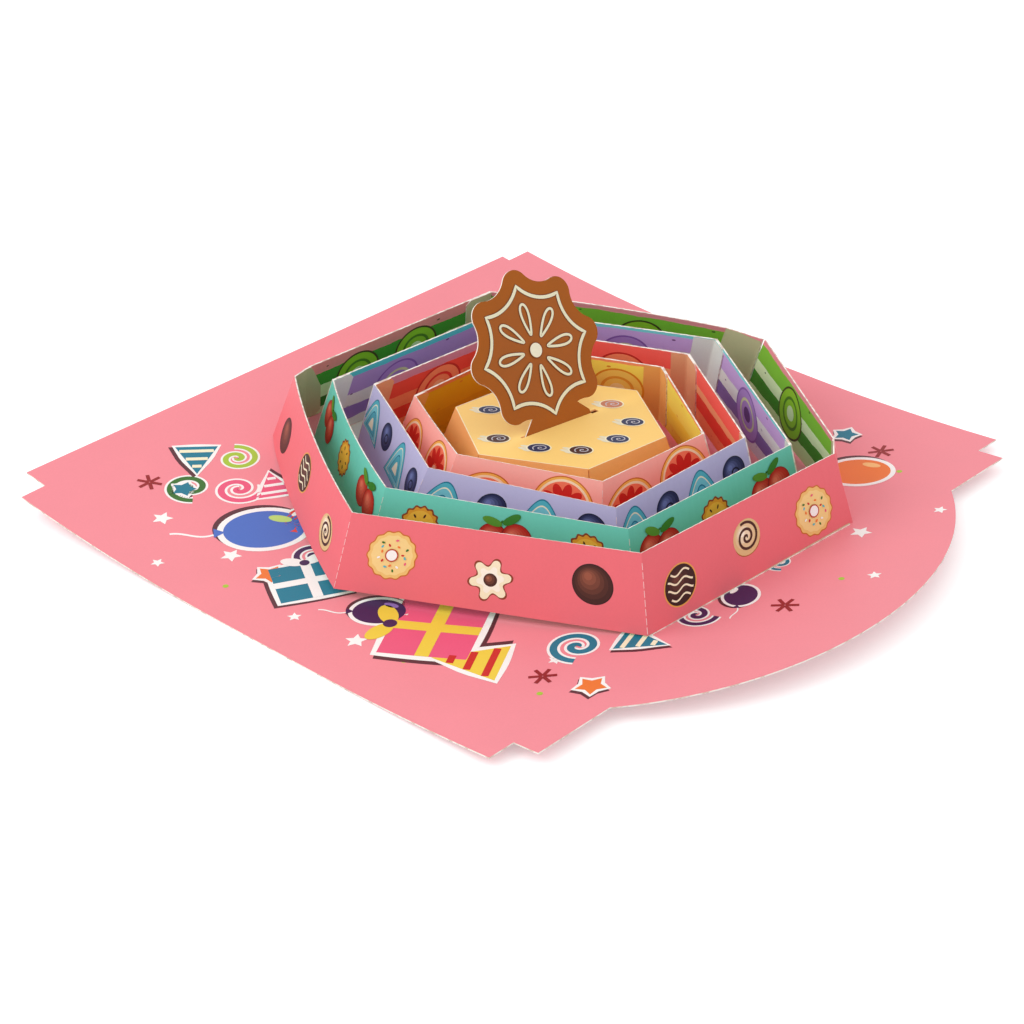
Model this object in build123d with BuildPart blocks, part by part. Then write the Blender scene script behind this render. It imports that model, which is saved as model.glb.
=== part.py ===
"""Pop up card, opened flat: four card collars round a small box, with a cut-out standing in it.

Every sheet is built as it is really made: one piece of card with its folds, tabs and cuts.
Millimetres, +Z up. The spine of the folded base lies along X and its flat middle rests on z = 0.
"""

import os
from dataclasses import dataclass
from math import cos, pi, radians, sin, sqrt

from build123d import *

# The stock that everything is cut from.
card = 0.4
paper_gap = 0.3

# The base: a folded sheet, two panels that curl up a little away from the spine.
spine_length = 200.0
back_reach = 109.9
back_edge_skew = 5.3
front_reach = 88.7
corner_notch = 8.25
tongue_radius = 94.0
tongue_centre_x = 0.9
tongue_centre_y = -23.5
rest_half_width = 15.0
front_curl_radius = 780.0
back_curl_radius = 645.0
curl_end = 12.0
score_half_width = 0.3
score_depth = 0.12

# The collars: hexagons in plan that share one frame. A lean is how far a wall goes outwards for each
# step down, and the right wall, with the facets at its ends, stands more upright than the others.
# A crest lift raises the corner at the spine's left end, and the tabs are lapped inside walls.
collar_centre_x = 9.2
collar_top = 22.5
collar_turn = -3.1
collar_tilt = 1.03
collar_lean = 0.323
right_wall_lean = 0.08
front_facet_lean = 0.17
back_facet_lean = 0.2
strip_width = 20.2
under_cut = 6.0
tab_chamfer = 1.6
foot_tab_width = 7.5
foot_tab_setback = 1.5

# The outermost collar stands in from the base's ends and its back edge by a margin.
pink_spine_margin = 25.6
pink_back_margin = 39.6
pink_half_spine = spine_length / 2 - pink_spine_margin
pink_half_side = 37.7
pink_half_width = back_reach - pink_back_margin
pink_crest_lift = -1.2
pink_left_tab = 5.0
pink_right_tab = 6.0
pink_back_tab = 9.9

# The second collar. Each steps in from the one round it, along the spine and across it.
teal_spine_step = 12.9
teal_side_step = 6.6
teal_width_step = 11.8
teal_half_spine = pink_half_spine - teal_spine_step
teal_half_side = pink_half_side - teal_side_step
teal_half_width = pink_half_width - teal_width_step
teal_crest_lift = 1.0
teal_left_tab = 7.3
teal_right_tab = 7.8
teal_back_tab = 8.0

# The third collar.
lavender_spine_step = 14.3
lavender_side_step = 6.3
lavender_width_step = 10.7
lavender_half_spine = teal_half_spine - lavender_spine_step
lavender_half_side = teal_half_side - lavender_side_step
lavender_half_width = teal_half_width - lavender_width_step
lavender_crest_lift = 1.2
lavender_left_tab = 7.0
lavender_right_tab = 8.3
lavender_back_tab = 8.0

# The innermost collar.
salmon_spine_step = 9.4
salmon_side_step = 5.75
salmon_width_step = 10.7
salmon_half_spine = lavender_half_spine - salmon_spine_step
salmon_half_side = lavender_half_side - salmon_side_step
salmon_half_width = lavender_half_width - salmon_width_step
salmon_crest_lift = 2.0
salmon_left_tab = 3.0
salmon_right_tab = 5.3
salmon_back_tab = 5.0

# The box in the middle, a cap whose six sides fold down.
box_top = 19.2
box_turn = -1.95
box_tilt = 4.7
box_spine_step = 7.5
box_side_step = 4.25
box_width_step = 10.9
box_half_spine = salmon_half_spine - box_spine_step
box_half_side = salmon_half_side - box_side_step
box_half_width = salmon_half_width - box_width_step
box_skirt = 12.5
box_corner_slit = 0.25

# The cut-out that stands in the box: a round on a stem, leaning back. Its outline is the star of
# curved-in sides that is printed on it, grown by an even margin.
topper_x = 7.14
topper_y = -1.0
topper_turn = -2.3
topper_lean = 27.0
round_centre_x = 2.2
round_centre_y = 21.2
star_tips = 8
star_turn = -4.0
star_tip_radius = 18.3
star_valley_radius = 14.7
star_margin = 4.4
stem_root_left = -7.5
stem_root_right = 8.7
stem_root_up = 4.2
stem_inside = 9.0
stem_half_width = 12.4
stem_below = 5.0
slit_left = -12.7
slit_right = 14.8
slit_clearance = 0.12
slit_mouth = 1.1
slit_reach = 3.0
foot_reach = 7.0
foot_gap = 0.8
foot_overlap = 0.1
trim_size = 80.0


@dataclass
class Collar:
    """One collar: its hexagon at the top edge, its glue tabs, and the shares of a side cut off corners."""

    name: str
    half_spine: float
    half_side: float
    half_width: float
    crest_lift: float
    left_tab: float
    right_tab: float
    back_tab: float
    cut_shares: dict


collars = (
    Collar(
        name="pink",
        half_spine=pink_half_spine,
        half_side=pink_half_side,
        half_width=pink_half_width,
        crest_lift=pink_crest_lift,
        left_tab=pink_left_tab,
        right_tab=pink_right_tab,
        back_tab=pink_back_tab,
        cut_shares={"D": 0.049, "E": 0.081, "F": 0.152, "G": 0.075, "J": 0.087, "A": 0.046},
    ),
    Collar(
        name="teal",
        half_spine=teal_half_spine,
        half_side=teal_half_side,
        half_width=teal_half_width,
        crest_lift=teal_crest_lift,
        left_tab=teal_left_tab,
        right_tab=teal_right_tab,
        back_tab=teal_back_tab,
        cut_shares={},
    ),
    Collar(
        name="lavender",
        half_spine=lavender_half_spine,
        half_side=lavender_half_side,
        half_width=lavender_half_width,
        crest_lift=lavender_crest_lift,
        left_tab=lavender_left_tab,
        right_tab=lavender_right_tab,
        back_tab=lavender_back_tab,
        cut_shares={"F": 0.036, "G": 0.040},
    ),
    Collar(
        name="salmon",
        half_spine=salmon_half_spine,
        half_side=salmon_half_side,
        half_width=salmon_half_width,
        crest_lift=salmon_crest_lift,
        left_tab=salmon_left_tab,
        right_tab=salmon_right_tab,
        back_tab=salmon_back_tab,
        cut_shares={"F": 0.034, "G": 0.076, "J": 0.129, "A": 0.064},
    ),
)

# Lettered corners of a collar, counterclockwise from the spine's left end: where a corner is cut
# off, the first letter lies on the side that ends there and the second on the side that starts.
corner_letters = (("B",), ("C",), ("D", "E"), ("F", "G"), ("H", "I"), ("J", "A"))
side_leans = {"DE": front_facet_lean, "EF": right_wall_lean, "FG": back_facet_lean}

collar_frame = Plane(Location((collar_centre_x, 0, collar_top), (0, collar_tilt, collar_turn)))
box_frame = Plane(Location((collar_centre_x, 0, box_top), (0, box_tilt, box_turn)))


def hexagon(half_spine, half_side, half_width):
    """Corners of a hexagon in plan, counterclockwise from the spine's left end."""
    return [
        Vector(-half_spine, 0),
        Vector(-half_side, -half_width),
        Vector(half_side, -half_width),
        Vector(half_spine, 0),
        Vector(half_side, half_width),
        Vector(-half_side, half_width),
    ]


def lettered_corners(collar):
    """The collar's corners by letter. A corner that isn't cut off has its two letters together."""
    corners = hexagon(collar.half_spine, collar.half_side, collar.half_width)
    points = {}
    for number, letters in enumerate(corner_letters):
        corner = corners[number]
        neighbours = (corners[number - 1], corners[(number + 1) % len(corners)])
        for letter, neighbour in zip(letters, neighbours):
            share = collar.cut_shares.get(letter, 0)
            points[letter] = corner + (neighbour - corner) * share
    return points


@dataclass
class Side:
    """The outer face of one side: its direction and outward normal in plan, its distance and lean."""

    along: Vector
    normal: Vector
    distance: float
    lean: float

    def inset(self, layers):
        """The same face moved inwards by whole layers of card."""
        moved = self.distance - layers * card * sqrt(1 + self.lean**2)
        return Side(self.along, self.normal, moved, self.lean)


def side_between(start, end, lean=collar_lean):
    """The side that runs counterclockwise from one corner to the next, or None if they coincide."""
    if (end - start).length < card:
        return None
    along = (end - start).normalized()
    normal = Vector(along.Y, -along.X)
    return Side(along, normal, normal.dot(start), lean)


def fold_point(first, second, level):
    """Where the fold between two leaning sides crosses a level below or above their top."""
    first_reach = first.distance - first.lean * level
    second_reach = second.distance - second.lean * level
    cross = first.normal.X * second.normal.Y - first.normal.Y * second.normal.X
    x = (first_reach * second.normal.Y - second_reach * first.normal.Y) / cross
    y = (second_reach * first.normal.X - first_reach * second.normal.X) / cross
    return Vector(x, y, level)


def fold_line(first, second, top, bottom):
    """The two ends of a fold, the upper one first."""
    return fold_point(first, second, top), fold_point(first, second, bottom)


def tab_outline(fold, along, length):
    """A glue tab that runs from its fold in the given direction, with its free corners cut off."""
    upper, lower = fold
    down = (lower - upper).normalized()
    return [
        lower,
        upper,
        upper + along * (length - tab_chamfer),
        upper + along * length + down * tab_chamfer,
        lower + along * length - down * tab_chamfer,
        lower + along * (length - tab_chamfer),
    ]


def sheet(frame, outline, side):
    """One flat panel of card: its outline on the outer face of a leaning side, in a frame."""
    lean_normal = Vector(side.normal.X, side.normal.Y, side.lean)
    origin = frame.from_local_coords(outline[0])
    outward = frame.from_local_coords(lean_normal) - frame.from_local_coords(Vector(0, 0, 0))
    across = frame.from_local_coords(outline[0] + side.along) - origin
    face_plane = Plane(origin=origin, x_dir=across, z_dir=outward)
    flat = [face_plane.to_local_coords(frame.from_local_coords(point)) for point in outline]
    with BuildPart() as panel:
        with BuildSketch(face_plane):
            with BuildLine():
                Polyline(*[(point.X, point.Y) for point in flat], close=True)
            make_face()
        extrude(amount=-card)
    return panel.part


def curl_radius(way):
    """Radius of the base's underside on the front panel (-1) or the back one (1)."""
    return front_curl_radius if way < 0 else back_curl_radius


def curl_point(height, angle, way):
    """A point of the base's curve, at a height above the underside and an angle up the curl."""
    radius = curl_radius(way) - height
    out = rest_half_width + radius * sin(radians(angle))
    return (way * out, curl_radius(way) - radius * cos(radians(angle)))


def curl_line(height):
    """The base's profile at a height above its underside, from the front panel to the back one."""
    Line((-rest_half_width, height), (rest_half_width, height))
    for way in (-1, 1):
        ThreePointArc(*[curl_point(height, curl_end * share, way) for share in (0, 0.5, 1)])


def layer(low, high):
    """The layer between two heights over the base, as wide as the spine and beyond its edges."""
    with BuildPart() as slice_of_space:
        with BuildSketch(Plane.YZ):
            with BuildLine():
                curl_line(low)
                curl_line(high)
                for way in (-1, 1):
                    Line(curl_point(low, curl_end, way), curl_point(high, curl_end, way))
            make_face()
        extrude(amount=spine_length / 2, both=True)
    return slice_of_space.part


def base_outline():
    """The base's outline: notched corners, a back edge trimmed askew and a round tongue in front."""
    side_x = spine_length / 2
    tongue_half = sqrt(tongue_radius**2 - (front_reach + tongue_centre_y) ** 2)
    left = tongue_centre_x - tongue_half
    right = tongue_centre_x + tongue_half
    tip = (tongue_centre_x, tongue_centre_y - tongue_radius)
    back_right = back_reach - back_edge_skew
    Polyline(
        (left, -front_reach),
        (corner_notch - side_x, -front_reach),
        (corner_notch - side_x, corner_notch - front_reach),
        (-side_x, corner_notch - front_reach),
        (-side_x, back_reach - corner_notch),
        (corner_notch - side_x, back_reach - corner_notch),
        (corner_notch - side_x, back_reach),
        (side_x - corner_notch, back_right),
        (side_x - corner_notch, back_reach - corner_notch),
        (side_x, back_reach - corner_notch),
        (side_x, corner_notch - front_reach),
        (side_x - corner_notch, corner_notch - front_reach),
        (side_x - corner_notch, -front_reach),
        (right, -front_reach),
    )
    ThreePointArc((right, -front_reach), tip, (left, -front_reach))


def make_base():
    """The base sheet: its curved layer cut to outline, with the fold scored along the spine."""
    curved_card = layer(0, card)
    with BuildPart() as base:
        add(curved_card)
        with BuildSketch(Plane.XY.offset(-trim_size)):
            with BuildLine():
                base_outline()
            make_face()
        extrude(amount=2 * trim_size, mode=Mode.INTERSECT)
        with BuildSketch(Plane.YZ):
            with BuildLine():
                Polyline(
                    (-score_half_width, card),
                    (0, card - score_depth),
                    (score_half_width, card),
                    (0, card + score_depth),
                    close=True,
                )
            make_face()
        extrude(amount=spine_length / 2, both=True, mode=Mode.SUBTRACT)
    base.part.label = "base_sheet"
    return base


# Space that the paper above the base must keep clear of, and the layer that its foot tabs fill.
below_base = layer(-under_cut, card)
below_hem = layer(-under_cut, card + paper_gap)
tab_layer = layer(card, 2 * card)


def foot_tab(frame, side, start, end):
    """The tab folded in at a wall's foot and glued flat to the base's curve, between two points."""
    inner_edge = side.normal * -foot_tab_width
    plan = [start, end, end + inner_edge, start + inner_edge]
    flat = [frame.from_local_coords(point) for point in plan]
    with BuildPart() as tab:
        add(tab_layer)
        with BuildSketch(Plane.XY.offset(-under_cut)):
            with BuildLine():
                Polyline(*[(point.X, point.Y) for point in flat], close=True)
            make_face()
        extrude(amount=trim_size, mode=Mode.INTERSECT)
    return tab.part


def foot_of(frame, side, corner):
    """The point of a wall's foot, half a layer in from its outer face, under a corner of it."""
    curled = max(0, abs(corner.Y) - rest_half_width)
    base_height = card + curled**2 / (2 * curl_radius(corner.Y))
    drop = frame.origin.Z - base_height
    reach = side.distance + side.lean * drop - card / 2
    slide = corner.dot(side.along)
    flat = side.normal * reach + side.along * slide
    return Vector(flat.X, flat.Y, -drop)


def collar_sides(collar):
    """The collar's sides by their two letters, leaving out those of uncut corners."""
    points = lettered_corners(collar)
    letters = [letter for group in corner_letters for letter in group]
    pairs = zip(letters, letters[1:] + letters[:1])
    leans = {a + b: side_leans.get(a + b, collar_lean) for a, b in pairs}
    return {name: side_between(points[name[0]], points[name[1]], lean) for name, lean in leans.items()}


def strip_panels(collar, sides, start_tab, end_tab):
    """The panels of one folded strip, its first and last side being tabs lapped inside a wall."""
    folds = []
    for first, second in zip(sides, sides[1:]):
        lift = collar.crest_lift if is_crest(first, second) else 0
        folds.append(fold_line(first, second, lift, lift - strip_width))
    panels = [sheet(collar_frame, tab_outline(folds[0], -sides[0].along, start_tab), sides[0])]
    for number, side in enumerate(sides[1:-1]):
        left, right = folds[number], folds[number + 1]
        panels.append(sheet(collar_frame, [left[1], left[0], right[0], right[1]], side))
    panels.append(sheet(collar_frame, tab_outline(folds[-1], sides[-1].along, end_tab), sides[-1]))
    return panels


def is_crest(first, second):
    """Whether a fold is the sharp one at the spine's left end, between two sides that face it."""
    faces_left = first.normal.X < 0 and second.normal.X < 0
    return faces_left and first.normal.Y > 0 > second.normal.Y


def seated_wall(collar, side, before, after, setback):
    """A side wall cut off at the base's curve, and the tab at its foot."""
    low = -strip_width - under_cut / 2
    left = fold_line(before, side, 0, low)
    right = fold_line(side, after, 0, low)
    wall = sheet(collar_frame, [left[1], left[0], right[0], right[1]], side)
    start = foot_of(collar_frame, side, left[0] + side.along * setback)
    end = foot_of(collar_frame, side, right[0] - side.along * setback)
    return wall, foot_tab(collar_frame, side, start, end)


def make_front_strip(collar):
    """The strip that goes round the front: left tab, spine corner, seated side wall, right tab."""
    sides = collar_sides(collar)
    order = [sides["IJ"].inset(1), sides["JA"], sides["AB"], sides["BC"]]
    order += [sides["CD"], sides["DE"], sides["EF"].inset(1)]
    order = [side for side in order if side]
    panels = strip_panels(collar, order, collar.left_tab, collar.right_tab)
    after = sides["DE"] or sides["EF"].inset(1)
    wall, tab = seated_wall(collar, sides["CD"], sides["BC"], after, foot_tab_setback)
    with BuildPart() as strip:
        add(panels)
        add(below_hem, mode=Mode.SUBTRACT)
        add(wall)
        add(below_base, mode=Mode.SUBTRACT)
        add(tab)
    strip.part.label = collar.name + "_front_strip"
    return strip


def make_back_strip(collar):
    """The strip that goes round the back, with a tab lapped inside each of the two single walls."""
    sides = collar_sides(collar)
    order = [sides["EF"].inset(1), sides["FG"], sides["GH"], sides["HI"], sides["IJ"].inset(1)]
    order = [side for side in order if side]
    panels = strip_panels(collar, order, collar.right_tab, collar.back_tab)
    with BuildPart() as strip:
        add(panels)
        add(below_hem, mode=Mode.SUBTRACT)
    strip.part.label = collar.name + "_back_strip"
    return strip


def make_right_wall(collar):
    """The single wall on the right, held by the tabs that the two strips lap inside its ends."""
    sides = collar_sides(collar)
    left = fold_line(sides["DE"] or sides["CD"], sides["EF"], 0, -strip_width)
    right = fold_line(sides["EF"], sides["FG"] or sides["GH"], 0, -strip_width)
    wall = sheet(collar_frame, [left[1], left[0], right[0], right[1]], sides["EF"])
    with BuildPart() as panel:
        add(wall)
        add(below_hem, mode=Mode.SUBTRACT)
    panel.part.label = collar.name + "_right_wall"
    return panel


def make_left_wall(collar):
    """The single wall on the back panel, with its foot tab folded in and glued down."""
    sides = collar_sides(collar)
    before = sides["HI"] or sides["GH"]
    after = sides["JA"] or sides["AB"]
    setback = max(collar.left_tab, collar.back_tab) + foot_tab_setback
    wall, tab = seated_wall(collar, sides["IJ"], before, after, setback)
    with BuildPart() as panel:
        add(wall)
        add(below_base, mode=Mode.SUBTRACT)
        add(tab)
    panel.part.label = collar.name + "_left_wall"
    return panel


def topper_frame():
    """The plane of the cut-out's printed face: through the slit, turned and leaning back."""
    foot = Plane(Location((topper_x, topper_y, 0), (0, 0, topper_turn)))
    across = foot.x_dir
    up = Vector(0, 0, cos(radians(topper_lean))) + foot.y_dir * sin(radians(topper_lean))
    slope = box_frame.z_dir
    rise = (collar_centre_x - topper_x) * slope.X - topper_y * slope.Y
    origin = Vector(topper_x, topper_y, box_top + rise / slope.Z)
    return Plane(origin=origin, x_dir=across, z_dir=across.cross(up))


def slit_cutter(left, right, room):
    """The slit's space between two places along it, with room on both sides of the cut-out."""
    face = topper_frame()
    with BuildPart() as cutter:
        with BuildSketch(face.offset(room)):
            with BuildLine():
                Polyline(
                    (left, -slit_reach),
                    (right, -slit_reach),
                    (right, slit_reach),
                    (left, slit_reach),
                    close=True,
                )
            make_face()
        extrude(amount=-card - 2 * room)
    return cutter.part


def make_box():
    """The box: a hexagonal top with the slit, six sides folded down and two feet glued to the base."""
    corners = hexagon(box_half_spine, box_half_side, box_half_width)
    sides = [side_between(a, b) for a, b in zip(corners, corners[1:] + corners[:1])]
    flaps, seats, tabs = [], [], []
    for number, side in enumerate(sides):
        seated = side.along.Y == 0
        low = -box_top - under_cut / 2 if seated else -box_skirt
        left = fold_line(sides[number - 1], side, 0, low)
        right = fold_line(side, sides[(number + 1) % len(sides)], 0, low)
        slit = side.along * box_corner_slit
        outline = [left[1] + slit, left[0] + slit, right[0] - slit, right[1] - slit]
        (seats if seated else flaps).append(sheet(box_frame, outline, side))
        if seated:
            start = foot_of(box_frame, side, left[0] + side.along * foot_tab_setback)
            end = foot_of(box_frame, side, right[0] - side.along * foot_tab_setback)
            tabs.append(foot_tab(box_frame, side, start, end))
    with BuildPart() as box:
        with BuildSketch(box_frame):
            with BuildLine():
                Polyline(*[(corner.X, corner.Y) for corner in corners], close=True)
            make_face()
        extrude(amount=-card)
        add(slit_cutter(slit_left, slit_right, slit_clearance), mode=Mode.SUBTRACT)
        add(slit_cutter(stem_half_width, slit_right, slit_mouth / 2), mode=Mode.SUBTRACT)
        add(flaps)
        add(below_hem, mode=Mode.SUBTRACT)
        add(seats)
        add(below_base, mode=Mode.SUBTRACT)
        add(tabs)
    box.part.label = "cake_top_box"
    return box


def star_point(radius, tip):
    """A point of the printed star: at a tip's angle, or between two tips for a half number."""
    angle = 2 * pi * tip / star_tips + radians(star_turn)
    return (round_centre_x + radius * cos(angle), round_centre_y + radius * sin(angle))


def make_topper():
    """The cut-out: a lobed round and its stem, through the slit, with two feet bent apart."""
    face = topper_frame()
    slope = box_frame.z_dir
    foot_plane = Plane(origin=face.origin - slope * card, x_dir=slope.cross(face.z_dir) * -1, z_dir=slope)
    with BuildPart() as topper:
        with BuildSketch(face):
            with BuildLine():
                for tip in range(star_tips):
                    ThreePointArc(
                        star_point(star_tip_radius, tip),
                        star_point(star_valley_radius, tip + 0.5),
                        star_point(star_tip_radius, tip + 1),
                    )
            make_face()
            offset(amount=star_margin)
            with BuildLine():
                Polyline(
                    (stem_root_left, stem_root_up),
                    (-stem_half_width, 0),
                    (-stem_half_width, -stem_below),
                    (stem_half_width, -stem_below),
                    (stem_half_width, 0),
                    (stem_root_right, stem_root_up),
                    (0, stem_inside),
                    close=True,
                )
            make_face()
        extrude(amount=-card)
        with BuildSketch(foot_plane.offset(-card)):
            Rectangle(trim_size, trim_size)
        extrude(amount=-trim_size, mode=Mode.SUBTRACT)
        with BuildSketch(foot_plane):
            for way in (-1, 1):
                near, far = -way * foot_overlap, way * foot_reach
                with BuildLine():
                    Polyline(
                        (way * foot_gap / 2, near),
                        (way * stem_half_width, near),
                        (way * stem_half_width, far),
                        (way * foot_gap / 2, far),
                        close=True,
                    )
                make_face()
        extrude(amount=-card)
    topper.part.label = "cookie_topper"
    return topper


pieces = [make_base(), make_box(), make_topper()]
for each_collar in collars:
    pieces.append(make_front_strip(each_collar))
    pieces.append(make_right_wall(each_collar))
    pieces.append(make_back_strip(each_collar))
    pieces.append(make_left_wall(each_collar))

os.makedirs("parts", exist_ok=True)
for piece in pieces:
    export_step(piece.part, "parts/" + piece.part.label + ".step")
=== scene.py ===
"""Looks of a pop up card opened flat: a curled base sheet, four tiered collars, a box and a cut-out.

Every sheet is card about 0.4 mm thick, printed on both faces, with pale cut edges and worn folds.
The print is drawn as thin flat shapes that lie on the sheets. Lengths are in metres.
"""

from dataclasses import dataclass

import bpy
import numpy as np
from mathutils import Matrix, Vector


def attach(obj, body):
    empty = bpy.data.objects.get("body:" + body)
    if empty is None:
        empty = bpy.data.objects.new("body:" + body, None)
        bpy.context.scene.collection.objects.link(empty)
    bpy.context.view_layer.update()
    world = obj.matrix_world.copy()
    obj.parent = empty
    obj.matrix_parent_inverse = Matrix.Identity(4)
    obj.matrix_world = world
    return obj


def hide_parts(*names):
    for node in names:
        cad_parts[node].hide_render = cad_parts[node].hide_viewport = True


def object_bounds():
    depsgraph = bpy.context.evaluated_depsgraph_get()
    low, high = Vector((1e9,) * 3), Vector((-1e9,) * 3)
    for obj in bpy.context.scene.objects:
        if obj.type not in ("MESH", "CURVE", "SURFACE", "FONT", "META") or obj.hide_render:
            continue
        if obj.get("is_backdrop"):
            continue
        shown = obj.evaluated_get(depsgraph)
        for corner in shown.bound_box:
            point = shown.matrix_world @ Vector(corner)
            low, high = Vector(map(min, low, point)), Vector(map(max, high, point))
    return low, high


bl_info = {
    "name": "Pop up card looks",
    "version": (1, 0, 0),
    "blender": (4, 5, 0),
    "location": "View3D > Sidebar > Pop up card",
    "description": "Builds the printed sheets of an opened pop up card round its packed model",
    "category": "Object",
}

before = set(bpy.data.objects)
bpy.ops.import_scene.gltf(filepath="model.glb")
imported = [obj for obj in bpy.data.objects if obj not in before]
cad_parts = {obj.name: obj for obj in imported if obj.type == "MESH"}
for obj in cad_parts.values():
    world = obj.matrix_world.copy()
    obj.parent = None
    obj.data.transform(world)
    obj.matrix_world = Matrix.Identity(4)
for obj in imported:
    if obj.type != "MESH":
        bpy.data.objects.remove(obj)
cad_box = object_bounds()

mm = 0.001

# The base: notched corners, a straight back edge and a round tongue, curled up on both sides.
card = 0.4 * mm
paper_gap = 0.3 * mm
hair_gap = 0.02 * mm
spine_length = 200.0 * mm
back_reach = 109.9 * mm
back_edge_skew = 5.3 * mm
front_reach = 88.7 * mm
corner_notch = 8.25 * mm
spine_half = spine_length / 2
notched = spine_half - corner_notch
tongue_radius = 94.0 * mm
tongue_centre = np.array([0.9, -23.5]) * mm
tongue_chord = np.sqrt(tongue_radius**2 - (front_reach + tongue_centre[1]) ** 2)
rim_step = 1.5 * mm
rest_half_width = 15.0 * mm
front_curl_radius = 780.0 * mm
back_curl_radius = 645.0 * mm

# The collars' shared frame, and what their strips have in common.
collar_centre_x = 9.2 * mm
collar_top = 22.5 * mm
collar_turn = -3.1
collar_tilt = 1.03
strip_width = 20.2 * mm
foot_tab_width = 7.5 * mm
foot_tab_setback = 1.5 * mm
crease_width = 0.15 * mm
tab_chamfer = 1.6 * mm
nick_height = 0.05 * mm
column_step = 0.8 * mm
strip_rows = 7

# The box's top and the cut-out's printed face.
box_top = 19.2 * mm
box_turn = -1.95
box_tilt = 4.7
box_half_spine = 30.3 * mm
box_half_side = 14.8 * mm
box_half_width = 26.2 * mm
topper_place = np.array([7.14, -1.0]) * mm
topper_turn = -2.3
topper_lean = 27.0
round_centre = np.array([2.2, 21.2]) * mm
star_tips = 8
star_turn = -4.0
star_tip_radius = 18.2 * mm
star_valley_radius = 14.75 * mm

# The print lies this high on its sheet, and each further layer of ink this much higher.
ink_lift = 0.03 * mm
ink_step = 0.012 * mm
ink_rings = 4
ink_points = 48
golden_angle = 137.5
fibre_grain = 0.03

# The order of the materials on each collar's pieces.
slot_outside, slot_inside, slot_edge, slot_ink, slot_tab = range(5)

# The camera, solved from the corners seen in the photograph.
camera_target = np.array([-15.97, -5.41, 3.97]) * mm
camera_azimuth = 226.176
camera_elevation = 30.588
camera_roll = -3.204
camera_distance = 785.8 * mm
camera_lens = 102.2
camera_sensor = 36.0

# The floor and the lamp.
floor_reach = 3.0
lamp_size = (0.7, 0.5)
lamp_place = np.array([-0.52, 0.4, 0.64])


@dataclass
class Collar:
    """One collar: its tabs, bows and bare margin, and its corners and feet as the photograph shows them.

    Each corner has its place along X and Y in the collars' frame, its height over their shared plane,
    and the step in X and Y from it to its foot, all in millimetres.
    """

    name: str
    left_tab: float
    right_tab: float
    back_tab: float
    margin: float
    left_bow: float
    back_bow: float
    corners: dict


collars = (
    Collar("pink", 5.3, 2.0, 9.9, 0.0, 2.2, 1.3, {
        "J": (-30.8, 71.0, 0.0, 2.9, 6.1), "A": (-37.3, 69.3, 0.0, -5.0, 6.3), "B": (-74.0, -0.4, -1.2, -7.2, 0.7),
        "C": (-37.6, -70.2, 0.0, -3.8, -5.8), "D": (34.2, -70.0, 0.0, 1.1, -6.5), "E": (40.3, -64.4, 0.0, -1.0, -5.3),
        "F": (70.6, -10.9, 0.0, 1.3, 9.5), "G": (70.9, 4.9, -1.6, 1.6, 9.2), "H": (37.7, 70.3, 0.0, 3.3, 6.1)}),
    Collar("teal", 7.8, 8.2, 8.0, 6.5, 1.9, 0.3, {
        "J": (-32.1, 58.7, 0.8, -3.9, 6.1), "B": (-61.8, 0.3, 1.0, -7.3, 1.0), "C": (-31.1, -58.8, -0.3, -3.5, -6.3),
        "D": (30.1, -58.4, 0.0, -0.7, -6.5), "F": (61.4, -0.5, 0.0, 2.6, 7.2), "H": (31.1, 58.5, 0.0, 3.3, 6.1)}),
    Collar("lavender", 7.6, 8.3, 8.0, 5.0, -0.2, 0.3, {
        "J": (-26.0, 47.9, 1.0, -2.8, 6.1), "B": (-47.3, 0.1, 1.2, -8.7, 4.0), "C": (-24.9, -48.0, -1.0, -4.4, -5.2),
        "D": (24.5, -46.9, 0.0, -0.5, -6.5), "F": (48.1, -2.6, 0.8, 4.0, 4.7), "H": (24.8, 47.8, 0.0, 3.3, 6.1)}),
    Collar("salmon", 5.6, 6.0, 5.0, 5.2, 0.3, 0.2, {
        "J": (-20.4, 37.1, -0.8, -5.8, 6.1), "B": (-38.0, -0.9, 2.0, -8.1, 2.7), "C": (-18.9, -36.9, 0.0, -5.1, -3.8),
        "D": (18.4, -37.4, 0.0, 1.0, -6.5), "F": (38.5, -1.7, 0.0, 3.8, 5.0), "H": (19.0, 37.1, 0.0, 3.3, 6.1)}),
)

# How far down, and how far along, each kind of tab has its upper free corner cut off, in millimetres.
tab_cuts = {"plain": (1.6, 1.6), "left": (9.0, 3.3), "front": (7.0, 4.0), "hidden": (16.0, 2.0)}


def linear(red, green, blue):
    """A colour as seen on a screen, 0 to 255, turned to linear light by the usual power law."""
    shown = np.array([red, green, blue]) / 255
    bent = np.where(shown <= 0.04045, shown / 12.92, ((shown + 0.055) / 1.055) ** 2.4)
    return tuple(float(c) for c in bent)


def turned_frame(x, y, z, tilt, turn):
    """A frame's origin and its three axes as columns: turned about Z, then tilted about Y."""
    spin = Matrix.Rotation(np.radians(tilt), 3, "Y") @ Matrix.Rotation(np.radians(turn), 3, "Z")
    return np.array([x, y, z]), np.array(spin)


collar_frame = turned_frame(collar_centre_x, 0, collar_top, collar_tilt, collar_turn)
box_frame = turned_frame(collar_centre_x, 0, box_top, box_tilt, box_turn)


def out_of(local_frame, points):
    """Points of a local frame in the object's own frame."""
    origin, axes = local_frame
    return np.asarray(points) @ axes.T + origin


def base_top(y):
    """Height of the base's printed face: flat in the middle, a circle's arc beyond it on each side."""
    out = np.maximum(np.abs(y) - rest_half_width, 0)
    radius = np.where(np.asarray(y) < 0, front_curl_radius, back_curl_radius)
    return card + radius - np.sqrt(radius**2 - out**2)


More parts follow.
